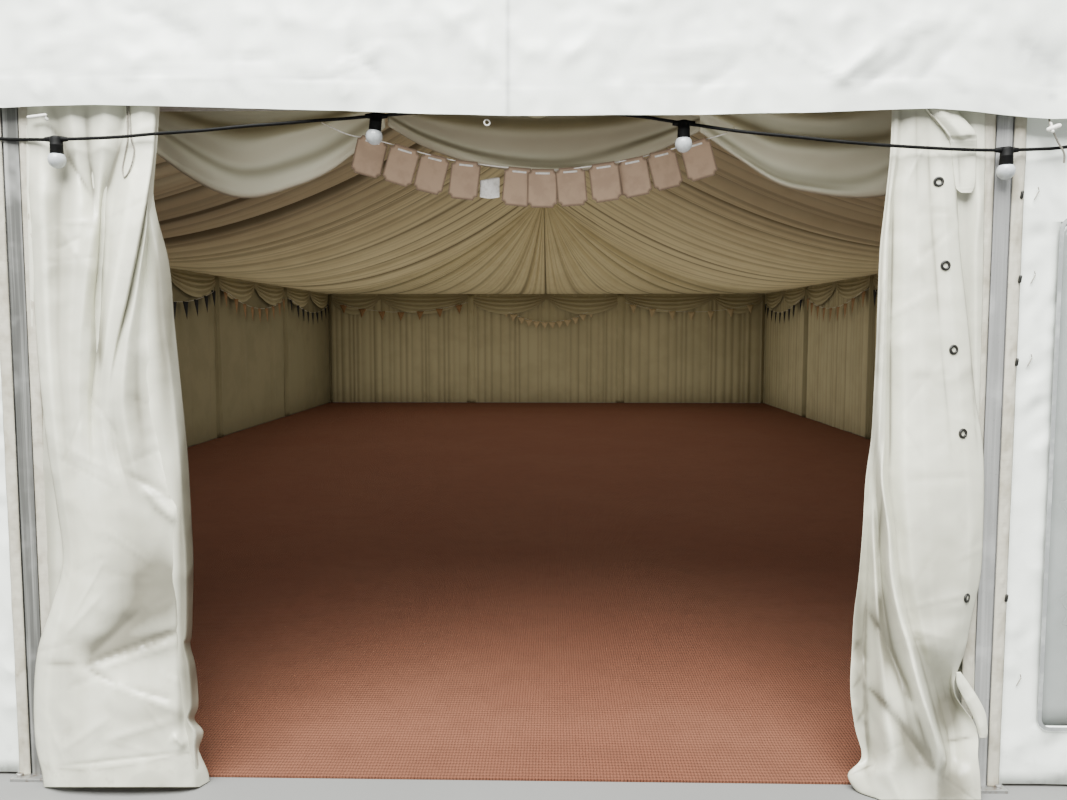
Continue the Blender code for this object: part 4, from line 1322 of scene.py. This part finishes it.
def door_sheets():
    """The two door sheets, drawn aside: each has a front part and the part that runs back to the post."""
    shapes = [
        ("cloth_left", (116, 236), (0.50, 2.12), 0.0032, LEFT_FRONT, LEFT_CREASES, LEFT_PAINTED_SHADE, LEFT_SHADE_LINES),
        ("return_left", (44, 120), (0.45, 2.12), 0.0030, LEFT_BACK, [], LEFT_BACK_PAINTED_SHADE, []),
        ("cloth_right", (116, 236), (0.42, 2.12), 0.0026, RIGHT_FRONT, RIGHT_CREASES, RIGHT_PAINTED_SHADE,
         RIGHT_SHADE_LINES),
        ("return_right", (34, 120), (0.28, 2.12), 0.0040, RIGHT_BACK, [], RIGHT_BACK_PAINTED_SHADE, []),
        ("corner_flap", (30, 60), (0.10, 0.29), 0.0012, CORNER_FLAP, [], CORNER_PAINTED_SHADE, CORNER_SHADE_LINES),
        ("foot_flap", (16, 36), (0.05, 0.22), 0.0010, FOOT_FLAP, [], [], []),
    ]
    for seed, (part, cells, size, wander, net, named, shades, lines) in enumerate(shapes, 200):
        name = "door_" + part
        us = [u for row in net.values() for u, _ in row]
        extra = []
        if "cloth" in name:
            extra = random_creases(seed, 60, (min(us), max(us)), (130, max(net)), (20, 90), 0.0036, 1.8)
        on = "door_cloth_right" if "flap" in name else ""
        place = net_place(name, net, named + extra, shades, lines, wander, seed, on)
        node = [name.replace("cloth", "sheet")] if "cloth" in name else []
        piece = cloth(name, *cells, size, place, "door", DOOR_T, node)


# Lining

PLEAT = 0.125
BROAD = 0.62
SAG = 0.45
END_SAG = 0.30
FAN_FROM = END_IN - BAY
CEILING_EDGE = PELMET + 0.004


def widths(pick, lo, hi, mean, low_share, high_share):
    """Edges of folds of uneven width that fill a span."""
    edges = [lo]
    while edges[-1] < hi:
        edges.append(edges[-1] + mean * pick.uniform(low_share, high_share))
    return np.array(edges)


def fold_at(edges, r):
    """Which fold a place lies in, and its share across that fold."""
    k = np.clip(np.searchsorted(edges, r, side="right") - 1, 0, len(edges) - 2)
    return k, (r - edges[k]) / (edges[k + 1] - edges[k])


def ceiling(side, s):
    """Half the ceiling: pleats hang from the ridge to the eave in curves, and fan out at both ends."""
    pick = random.Random(17 + s)
    seam = 0.002
    across = SIDE_IN - seam - 0.004
    rim = 2 * across + 2 * END_IN
    edges = widths(pick, 0.0, rim, PLEAT, 0.5, 1.7)
    depth = np.array([pick.uniform(0.25, 1.0) for _ in edges])
    droop = np.array([pick.gauss(0.0, 0.018) for _ in edges])
    broad = widths(pick, 0.0, rim, BROAD, 0.6, 1.4)
    force = np.array([pick.uniform(0.5, 1.0) for _ in broad])

    def place(a, t):
        r = a * rim
        t = t**0.9
        end = END_IN - 0.004
        to_side = np.clip(r, 0, across)
        along = np.clip(r - across, 0, 2 * end)
        back_in = np.clip(r - across - 2 * end, 0, across)
        x = to_side - back_in
        y = end - along
        start = np.clip(y, -FAN_FROM, FAN_FROM)
        outer = np.clip((np.abs(y) - FAN_FROM) / BAY, 0, 1)
        sag = SAG + (END_SAG - SAG) * outer
        k, phase = fold_at(edges, r)
        j, sweep = fold_at(broad, r)
        grip = np.sin(math.pi * np.clip(t, 0.03, 0.97)) ** 0.6
        small = np.sin(math.pi * phase) ** 0.7
        lean = np.sin(math.pi * sweep**1.5) ** 0.8
        fold = 0.040 * depth[k] * small * (0.25 + 0.75 * grip) + 0.075 * force[j] * lean * grip
        fold = fold + (droop[k] * (1 - phase) + droop[k + 1] * phase) * grip
        height = LINING_RIDGE + (CEILING_EDGE - LINING_RIDGE) * t - 4 * sag * t * (1 - t)
        near = np.minimum(phase, 1 - phase) * (edges[k + 1] - edges[k])
        near_broad = np.minimum(sweep, 1 - sweep) * (broad[j + 1] - broad[j])
        fan = 1 - 0.55 * np.clip(outer * 2, 0, 1) * np.clip(1.4 - t, 0, 1)
        # Painted shade: dark lines in the gaps between pleats and broad folds, fainter where the pleats fan
        # out
        shade_and_marks = 0.50 * depth[k] * np.exp(-((near / 0.022) ** 2)) + 0.9 * np.exp(-((near_broad / 0.035) ** 2))
        shade_and_marks = shade_and_marks * fan
        px = s * (seam + (x - seam) * t)
        py = start + (y - start) * t
        return points(px, py, height - fold * np.minimum(1, 6 * (1 - t) + 0.2)), np.clip(shade_and_marks, 0, 1)

    piece = cloth(f"ceiling_{side}", 1400, 26, (rim, 5.0), place, "ceiling", 0, [f"roof_lining_{side}"])


def pleated_wall(name, lo, hi, plane, axis, inward, pleat, depth, seed, flat_to, nodes=(), material="wall"):
    """A wall of gathered cloth from the pelmet to the floor."""
    pick = random.Random(seed)
    edges = widths(pick, lo, hi, pleat, 0.5, 1.5)
    force = np.array([pick.uniform(0.3, 1.0) for _ in edges])

    def place(a, t):
        at = lo + (hi - lo) * a
        z = MATTING + 0.004 + (PELMET - 0.006 - MATTING) * t
        k, phase = fold_at(edges, at)
        drift = 0.4 + 0.6 * (rough(points(at * 1.3, z * 0.5, 0), 1.0, seed) + 0.5)
        fold = depth * force[k] * np.sin(math.pi * phase) ** 1.2 * np.clip(drift, 0.3, 1.2)
        wave = 0.010 * rough(points(at, z, 0), 1.1, seed + 2)
        push = plane + inward * (0.001 + fold + np.abs(wave))
        near = np.minimum(phase, 1 - phase) * (edges[k + 1] - edges[k])
        # Painted shade in the valleys between folds
        shade_and_marks = 0.7 * force[k] * np.exp(-((near / 0.02) ** 2)) * min(1.0, depth / 0.03)
        return points(push, at, z) if axis == "X" else points(at, push, z), shade_and_marks

    across = int((hi - lo) / 0.022)
    piece = cloth(name, across, 12, (hi - lo, 2.17), place, material, 0, nodes)
    return piece


def wall_linings():
    """Cloth on the side walls and across the back inside."""
    end = END_IN - 0.004
    side = SIDE_IN - 0.005
    back = (-side, side, END_IN - 0.003, "Y", -1)
    pleated_wall("lining_back", *back, 0.13, 0.040, 31, 2 * side * 1.2, ["wall_lining"])
    pleated_wall("lining_right", -end, end, side, "X", -1, 0.14, 0.036, 33, 2 * end * 1.2)
    pleated_wall("lining_left", -end, end, -side, "X", 1, 0.50, 0.016, 35, 2 * end * 1.02, (), "wall_plain")


def leg_covers():
    """Cloth sleeves over the legs inside, gathered at the pelmet."""
    spots = [(s * (SIDE_IN - 0.012), y, "X", -s) for s in (-1, 1) for y in FRAME_Y[1:-1]]
    spots += [(s * POST_X, END_IN - 0.012, "Y", -1) for s in (-1, 1)]
    spots += [(s * (SIDE_IN - 0.02), END_IN - 0.02, "C", -s) for s in (-1, 1)]
    for n, (x, y, axis, inward) in enumerate(spots):

        def place(a, t, x=x, y=y, axis=axis, inward=inward):
            z = MATTING + 0.004 + (PELMET - 0.03 - MATTING) * t
            wide = 0.085 + 0.012 * np.sin(z * 2.2 + n)
            across = (a - 0.5) * 2 * wide
            bulge = 0.050 * np.cos(math.pi * (a - 0.5)) + 0.005 * np.sin(a * 31 + z * 1.5)
            if axis == "X":
                return points(x + inward * bulge, y + across, z)
            if axis == "Y":
                return points(x + across, y - bulge, z)
            return points(x + inward * bulge + across * 0.7, y - bulge - across * 0.7 * inward, z)

        material = "wall_plain" if axis == "X" else "wall"
        piece = cloth(f"leg_sleeve_{n + 1}", 22, 30, (0.24, 2.1), place, material, 0.001)


BACK_NODES = [-3.34, -1.57, 0.02, 1.57, 3.34]


def pelmet_swags():
    """Swags of gathered cloth along the top of the walls."""
    side_nodes = [-END_IN + 0.1] + [FRAME_Y[0] + BAY * k / 2 for k in range(1, 2 * BAYS)] + [END_IN - 0.1]
    back_nodes = [-SIDE_IN + 0.05, *BACK_NODES, SIDE_IN - 0.05]
    for name, stops in (("back", back_nodes), ("left", side_nodes), ("right", side_nodes)):
        pick = random.Random(len(name) * 5)
        count = len(stops) - 1
        lo, hi = stops[0], stops[-1]
        drops = [pick.uniform(0.22, 0.27) * (1.3 if name == "back" else 1.0) for _ in range(count)]

        def place(a, t, lo=lo, hi=hi, stops=np.array(stops), drops=drops, name=name):
            at = lo + (hi - lo) * a
            k, phase = fold_at(stops, at)
            belly = np.abs(np.sin(math.pi * phase)) ** 0.65
            drop = np.array(drops)[k]
            fall = (1 - t) * (0.07 + drop * belly)
            z = PELMET + 0.002 - fall
            ends = np.sin(math.pi * np.clip(1 - t, 0, 1)) ** 0.4
            ridges = 0.016 * np.sin(9 * math.pi * (1 - t) + 1.2 * belly) * belly * ends
            depth = 0.016 + 0.055 * belly * np.sin(math.pi * (1 - t) * 0.62) + ridges
            depth = depth + 0.010 * np.sin(phase * 40) * (1 - belly)
            # Painted shade where the swags gather at their stops and in the troughs of their ridges
            shade_and_marks = np.clip(0.8 * (1 - belly) + 0.5 * np.clip(-ridges / 0.016, 0, 1), 0, 1)
            if name == "back":
                return points(at, END_IN - 0.006 - depth, z), shade_and_marks
            sign = -1 if name == "left" else 1
            return points(sign * (SIDE_IN - 0.006 - depth), at, z), shade_and_marks

        size = (hi - lo, 0.30)
        piece = cloth(f"pelmet_swags_{name}", count * 34, 18, size, place, "wall", 0)


SWAG_TOP = 92.0
SWAGS = [
    ("left", -7.12, [(152, 150), (187, 176), (222, 194), (252, 198), (285, 190), (330, 171), (385, 128)]),
    ("middle", -7.05, [(388, 126), (425, 148), (480, 166), (545, 173), (600, 168), (655, 152), (702, 130)]),
    ("right", -7.12, [(700, 132), (735, 158), (775, 184), (815, 194), (850, 198), (880, 196), (905, 188)]),
]


def front_swags():
    """Three loose swags of the lining's front edge, behind the hem."""
    for n, (name, y, belly) in enumerate(SWAGS):
        lowest = np.array(belly, float)

        def place(a, t, lowest=lowest, y=y, n=n):
            edge = follow(lowest, a)
            v = edge[:, 1] + (SWAG_TOP - edge[:, 1]) * t
            u = edge[:, 0] + 4.0 * np.sin(t * 7 + n) * np.sin(math.pi * a)
            round_over = np.sin(math.pi * np.clip(1.1 * (1 - t), 0, 1))
            turn = 17 * t + 2.4 * np.sin(math.pi * a) + n + 1.5 * rough(points(a * 2, t * 3, n), 1.0, 55 + n)
            wave = 0.026 * np.sin(turn) * np.sin(math.pi * a) ** 0.6
            depth = y + 0.10 * (1 - round_over) * np.sin(math.pi * a) - 0.05 * t + wave
            under = 0.10 * np.clip((0.04 - t) / 0.04, 0, 1) * np.sin(math.pi * a)
            fold = np.clip(np.sin(turn + 1.2), 0, 1) ** 3
            # Painted shade: darker towards the top, on the middle swag and in the folds
            swag_shade = 0.10 + 0.85 * t + (0.34 if n == 1 else 0.0) + 0.35 * fold * np.clip(4 * t, 0.2, 1)
            return seen(u, v, depth + under), np.clip(swag_shade, 0, 1)

        piece = cloth(f"front_swag_{name}", 70, 44, (1.6, 0.4), place, "swag", 0.0008)


# Decorations


def hanging_line(start, stop, sag, away, count=41):
    """Points along a string that sags between two ends and stands away from the wall between them."""
    shares = np.linspace(0, 1, count)
    line = np.outer(1 - shares, start) + np.outer(shares, stop)
    line[:, 2] -= 4 * sag * shares * (1 - shares)
    bow = np.minimum(1, 12 * np.minimum(shares, 1 - shares))
    return line + np.outer(bow, away)


PENNANT_STRING_R = 0.0016


def pennants(name, start, stop, sag, count, wide, tall, colour, away):
    """Triangular pennants on a string between two points."""
    bm = bmesh.new()
    pick = random.Random(len(name))
    axis = (Vector(stop) - Vector(start)).normalized()
    off = Vector(away).normalized()
    for mid in hanging_line(start, stop, sag, away, 2 * count + 1)[1::2]:
        mid = Vector(mid)
        left = mid - axis * wide / 2 + off * pick.uniform(0.0, 0.006)
        right = mid + axis * wide / 2 + off * pick.uniform(0.0, 0.006)
        tip = mid + axis * pick.uniform(-0.02, 0.02) + Vector((0, 0, -tall)) + off * 0.012
        bm.faces.new([bm.verts.new(p) for p in (left, right, tip)])
    bmesh.ops.subdivide_edges(bm, edges=bm.edges[:], cuts=3, use_grid_fill=True)
    piece = finish(name, bm, colour)
    thicken(piece, 0.0009)
    limp_cord(name + "_string", hanging_line(start, stop, sag, away), PENNANT_STRING_R, "string", 1)


PENNANT_OFF = 0.085
PENNANT_WIDE = 0.15


def buntings():
    """Strings of pennants in swags along the walls inside."""
    for side, s in SIDES.items():
        for k in range(BAYS):
            y0, y1 = FRAME_Y[k] + 0.05, FRAME_Y[k + 1] - 0.05
            y0, y1 = max(y0, -END_IN + 0.12), min(y1, END_IN - 0.12)
            ends = [(s * (SIDE_IN - 0.012), y, PELMET - 0.16) for y in (y0, y1)]
            colour = ["navy", "rust"][k % 2]
            away = (-s * PENNANT_OFF, 0, 0)
            pennants(f"pennants_{side}_{k + 1}", *ends, 0.24, 9, PENNANT_WIDE, 0.22, colour, away)
    spans = [(-4.25, -1.55, 0.16, 0.20, 7, 0.18, "rust"), (1.55, 4.25, 0.16, 0.20, 7, 0.18, "tan")]
    spans.append((-0.87, 0.97, 0.29, 0.27, 12, 0.14, "tan"))
    for n, (x0, x1, below, sag, count, tall, colour) in enumerate(spans, 1):
        ends = [(x, END_IN - 0.012, PELMET - below) for x in (x0, x1)]
        away = (0, -PENNANT_OFF, 0)
        pennants(f"pennants_back_{n}", *ends, sag, count, PENNANT_WIDE, tall, colour, away)


CARD_PIXELS = [
    (372.5, 139), (405, 148), (434.5, 156), (464, 162), (517, 168.5), (545, 170.5), (572, 168.5), (605, 164),
    (633, 159), (661.5, 152), (695, 142),
]
BANNER_END_LEFT = [(312, 100, 0.235), (314, 110, 0.22), (320, 121, 0.10), (331, 127, 0.0), (350, 135, 0.0)]
BANNER_END_RIGHT = [(714, 137, 0.0), (726, 133, 0.0), (737, 126, 0.10), (743, 112, 0.22), (745, 100, 0.235)]
RIBBON_U = (480.0, 499.5)
RIBBON_TOP, RIBBON_TALL = 179.0, 18.0
RIBBON_SIZE = (0.062, 0.055)
CARD_W = 0.101
CARD_H = 0.128
SCOOP = 0.013
CARD_Y = -7.235
STRING_R = 0.0020
LOOP_W, LOOP_H, LOOP_AT = 0.047, 0.006, 0.012


def card_banner():
    """A string of bare kraft cards across the doorway."""
    hung = BANNER_END_LEFT + [(u, v, 0.0) for u, v in CARD_PIXELS] + BANNER_END_RIGHT
    path = follow([seen(u, v, CARD_Y + back) for u, v, back in hung], np.linspace(0, 1, 120))
    limp_cord("banner_string", path, STRING_R, "string", 2)
    bm = bmesh.new()
    loops = bmesh.new()
    rim = bm.verts.layers.float.new("shade_and_marks")
    pick = random.Random(8)
    for n, (u, v) in enumerate(CARD_PIXELS):
        at = seen(u, v, CARD_Y)
        near = int(np.argmin(np.linalg.norm(path - at, axis=1)))
        slope = path[near + 3] - path[near - 3]
        lean = math.atan2(slope[2], slope[0]) + pick.uniform(-0.02, 0.02)
        top = Vector(path[near]) + Vector((0, -STRING_R - 0.001 - 0.004 * (n % 2), 0.004))
        card_at(bm, loops, rim, top, lean, pick.uniform(-0.2, 0.2))
    bmesh.ops.recalc_face_normals(bm, faces=bm.faces)
    cards = finish("banner_cards", bm, "card", smooth=False)
    thicken(cards, 0.0010)
    thicken(finish("banner_loops", loops, "string", smooth=False), 0.0008)

    def ribbon_place(a, t):
        u = RIBBON_U[0] + (RIBBON_U[1] - RIBBON_U[0]) * a
        v = RIBBON_TOP + RIBBON_TALL * (1 - t) + 1.5 * np.sin(3 * a + 2 * t)
        return seen(u, v, CARD_Y - 0.004 + 0.006 * np.sin(5 * a + 3 * t))

    ribbon = cloth("banner_ribbon", 10, 10, RIBBON_SIZE, ribbon_place, "string", 0.0006)


def card_at(bm, loops, rim, top, angle, sway):
    """Adds one card, with scooped corners and a darker rim, and the stretch of ribbon across its front."""
    outline = []
    for cx, cz, start in ((1, 1, 1.5), (-1, 1, 0.0), (-1, -1, 0.5), (1, -1, 1.0)):
        for step in range(6):
            turn = math.pi * (start - step / 10)
            x = cx * CARD_W / 2 + SCOOP * math.cos(turn)
            z = cz * CARD_H / 2 + SCOOP * math.sin(turn)
            outline.append((x, z))
    turn = Matrix.Rotation(-angle, 3, "Y") @ Matrix.Rotation(sway, 3, "Z")
    rings = []
    for share, dark in ((1.0, 1.0), (0.93, 0.6), (0.86, 0.0)):
        corners = [Vector((x * share, 0.0, z * share - CARD_H / 2)) for x, z in outline]
        ring = [bm.verts.new(top + turn @ corner) for corner in corners]
        for vert in ring:
            vert[rim] = dark
        rings.append(ring)
    for outer, inner in zip(rings, rings[1:]):
        for k in range(len(outline)):
            after = (k + 1) % len(outline)
            bm.faces.new((outer[k], outer[after], inner[after], inner[k]))
    bm.faces.new(rings[-1])
    corners = [(-LOOP_W / 2, -LOOP_AT), (LOOP_W / 2, -LOOP_AT), (LOOP_W / 2, -LOOP_AT - LOOP_H)]
    corners.append((-LOOP_W / 2, -LOOP_AT - LOOP_H))
    loops.faces.new([loops.verts.new(top + turn @ Vector((x, -0.002, z))) for x, z in corners])


# Small fittings

EYELET = (0.0112, 0.0042)
HEM_RING = (0.0085, 0.0024)
EYELET_PIXELS = [(938.7, 181.7), (945.6, 265.5), (953.8, 349.7), (963, 433.5), (967, 598)]


def torus(bm, at, radius, wire_radius, normal, steps=28, sides=10):
    """Adds a ring to bm."""
    known = set(bm.verts)
    circle = bmesh.ops.create_circle(bm, cap_ends=False, radius=wire_radius, segments=sides)["verts"]
    bmesh.ops.rotate(bm, cent=(0, 0, 0), matrix=Matrix.Rotation(math.pi / 2, 3, "X"), verts=circle)
    bmesh.ops.translate(bm, vec=(radius, 0, 0), verts=circle)
    edges = list({edge for vert in circle for edge in vert.link_edges})
    spin_round(bm, circle + edges, steps)
    put_fresh(bm, known, at, normal)


def put_fresh(bm, known, at, aim):
    """Moves what was added after the known vertices to a place, and turns its axis to an aim."""
    fresh = [v for v in bm.verts if v not in known]
    turn = Vector(aim).to_track_quat("Z", "Y").to_matrix().to_4x4()
    bmesh.ops.transform(bm, matrix=Matrix.Translation(at) @ turn, verts=fresh)
    for vert in fresh:
        vert.tag = True


def in_front(u, v, ahead):
    """The point that shows at a pixel, at a distance in front of the posts' face."""
    return Vector(seen(u, v, -FRONT - ahead))


def eyelets():
    """Dark eyelet rings down the free edge of the right door sheet, and a small ring under the hem."""
    bm = bmesh.new()
    for u, v in EYELET_PIXELS:
        ahead = ahead_of("door_cloth_right", u, v)
        right = ahead_of("door_cloth_right", u + 3, v) - ahead_of("door_cloth_right", u - 3, v)
        torus(bm, Vector(seen(u, v, -FRONT - ahead - 0.002)), *EYELET, (-right / 0.018, -1, 0.0))
    finish("door_eyelets", seal(bm), "ring")
    hook = bmesh.new()
    torus(hook, in_front(487, 122.5, 0.024), *HEM_RING, (0.3, -1, 0.1), 20, 8)
    finish("hem_hook", seal(hook), "toggle")


ROPE_R = 0.0022
ROPE_PIXELS = [
    (127, 103), (127, 112), (127.6, 134), (127, 144), (122.5, 168), (125, 177), (131, 166), (134, 150),
    (131, 138), (129, 112), (129, 103),
]
BUNGEE_R = 0.0028
BUNGEE_AHEAD = [0.018, 0.034, 0.034, 0.026, 0.018, 0.010]
BUNGEE_PIXELS = [(1049, 116), (1050, 124), (1053, 131), (1058, 142), (1064, 153), (1064, 163)]


def front_cords():
    """The tie loop of the left door sheet and the elastic of the hem's right toggle."""
    tie = [ahead_of("door_cloth_left", u, v) + 0.006 for u, v in ROPE_PIXELS]
    cords = [("tie_loop", ROPE_PIXELS, tie, ROPE_R), ("hem_elastic", BUNGEE_PIXELS, BUNGEE_AHEAD, BUNGEE_R)]
    for name, trail, ahead, radius in cords:
        knots = [seen(u, v, -FRONT - far) for (u, v), far in zip(trail, ahead)]
        limp_cord(name, follow(knots, np.linspace(0, 1, 70)), radius, "rope", 3)


def peg(bm, start, stop, radius):
    """Adds a rounded peg between two points."""
    tall = (stop - start).length
    profile = [(0.0, 0.0)]
    profile += [(radius * math.sin(a), radius * (1 - math.cos(a))) for a in (0.5, 1.0, 1.57)]
    profile += [(radius * math.cos(a), tall - radius * (1 - math.sin(a))) for a in (0.0, 0.5, 1.0)]
    profile.append((0.0, tall))
    known = set(bm.verts)
    turned(bm, profile, (0, 0, 0), steps=14)
    put_fresh(bm, known, start, stop - start)


CLIP_PIXELS = [(1021.5, 194.6), (1019.6, 279), (1016.4, 362), (1006, 598)]
TAB_R = 0.0016
TOGGLES = [
    ((27, 117.5, 0.034), (47, 115, 0.036), 0.0052),
    ((45, 116, 0.036), (48, 121, 0.030), 0.0040),
    ((1046.5, 130.5, 0.036), (1061.5, 125, 0.040), 0.0075),
    ((1050, 122, 0.030), (1053, 133, 0.042), 0.0048),
]
MARK_PIXELS = [(1036.5, 194), (1032.8, 278), (1029.4, 361), (1018.5, 680.7)]


def fittings():
    """Toggles under the hem, turn buttons beside the right post and the scuffed tabs by them."""
    pegs = bmesh.new()
    for start, stop, radius in TOGGLES:
        peg(pegs, in_front(*start), in_front(*stop), radius)
    finish("hem_toggles", seal(pegs), "toggle")
    clips = bmesh.new()
    for u, v in CLIP_PIXELS:
        middle = in_front(u, v, 0.007)
        peg(clips, middle + Vector((0, 0.001, -0.013)), middle + Vector((0.003, 0, 0.012)), 0.0050)
    finish("wall_turn_buttons", seal(clips), "ring")
    marks = bmesh.new()
    for u, v in MARK_PIXELS:
        middle = Vector(seen(u, v, low("front_wall_right")[1] - 0.004))
        peg(marks, middle + Vector((-0.006, 0, -0.017)), middle + Vector((0.008, 0, 0.010)), TAB_R)
        peg(marks, middle + Vector((0.007, 0, 0.011)), middle + Vector((0.004, 0, 0.021)), TAB_R)
    finish("wall_tabs", seal(marks), "rope")


LIGHTS = [
    ("sky_front", (-1.2, -13.6, 11.4), (0.0, -7.5, 0.8), (10.0, 9.0), 9500, (0.985, 1.0, 0.972)),
    ("door_fill", (0.1, -7.47, 0.98), (0.1, 0.0, 2.2), (2.1, 1.8), 14, (1.0, 0.99, 0.92)),
    ("roof_glow", (0.0, 2.6, 0.03), (0.0, 2.601, 9.0), (8.0, 9.0), 98, (1.0, 0.955, 0.75)),
    ("floor_glow", (0.0, 0.6, 2.1), (0.0, 0.601, 0.0), (7.6, 12.0), 185, (1.0, 0.97, 0.88)),
]


def stage_and_light():
    """A plain pale floor, a soft sky and studio lights in front of and inside the tent."""
    bm = bmesh.new()
    bmesh.ops.create_grid(bm, x_segments=1, y_segments=1, size=60)
    mesh = bpy.data.meshes.new("studio_floor")
    bm.to_mesh(mesh)
    bm.free()
    floor = bpy.data.objects.new("studio_floor", mesh)
    look = Look("studio_floor", (0.15, 0.15, 0.145), 0.9)
    look.lay(look.noise(2.0, 5.0), (0.18, 0.18, 0.175))
    mesh.materials.append(look.made())
    bpy.context.scene.collection.objects.link(floor)
    world = bpy.data.worlds.new("soft_sky")
    world.use_nodes = True
    sky = world.node_tree.nodes["Background"]
    sky.inputs["Color"].default_value = (0.96, 0.98, 1.0, 1.0)
    sky.inputs["Strength"].default_value = 0.40
    bpy.context.scene.world = world
    for name, at, aim, size, power, colour in LIGHTS:
        data = bpy.data.lights.new(name, "AREA")
        data.shape = "RECTANGLE"
        data.size, data.size_y = size
        data.energy = power
        data.color = colour
        light = bpy.data.objects.new(name, data)
        light.location = at
        light.rotation_euler = (Vector(aim) - Vector(at)).to_track_quat("-Z", "Y").to_euler()
        light.visible_camera = False
        bpy.context.scene.collection.objects.link(light)


def dress_frame():
    """Finishes for the frame's own pieces that show: beams, rafters and matting."""
    for name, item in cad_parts.items():
        if name.startswith(("rafters", "ridge", "eave", "gable_beam", "floor_matting")):
            item.data.materials.clear()
            item.data.materials.append(FINISHES["matting" if name == "floor_matting" else "aluminium"])


dress_frame()
for end, e in ENDS.items():
    gable_cover(end, e)
for k in range(1, BAYS + 1):
    roof_sheet(k)
plain_walls()
front_walls()
uprights()
webbing_strips()
door_sheets()
for side, s in SIDES.items():
    ceiling(side, s)
wall_linings()
leg_covers()
pelmet_swags()
front_swags()
buntings()
card_banner()
eyelets()
front_cords()
fittings()
stage_and_light()
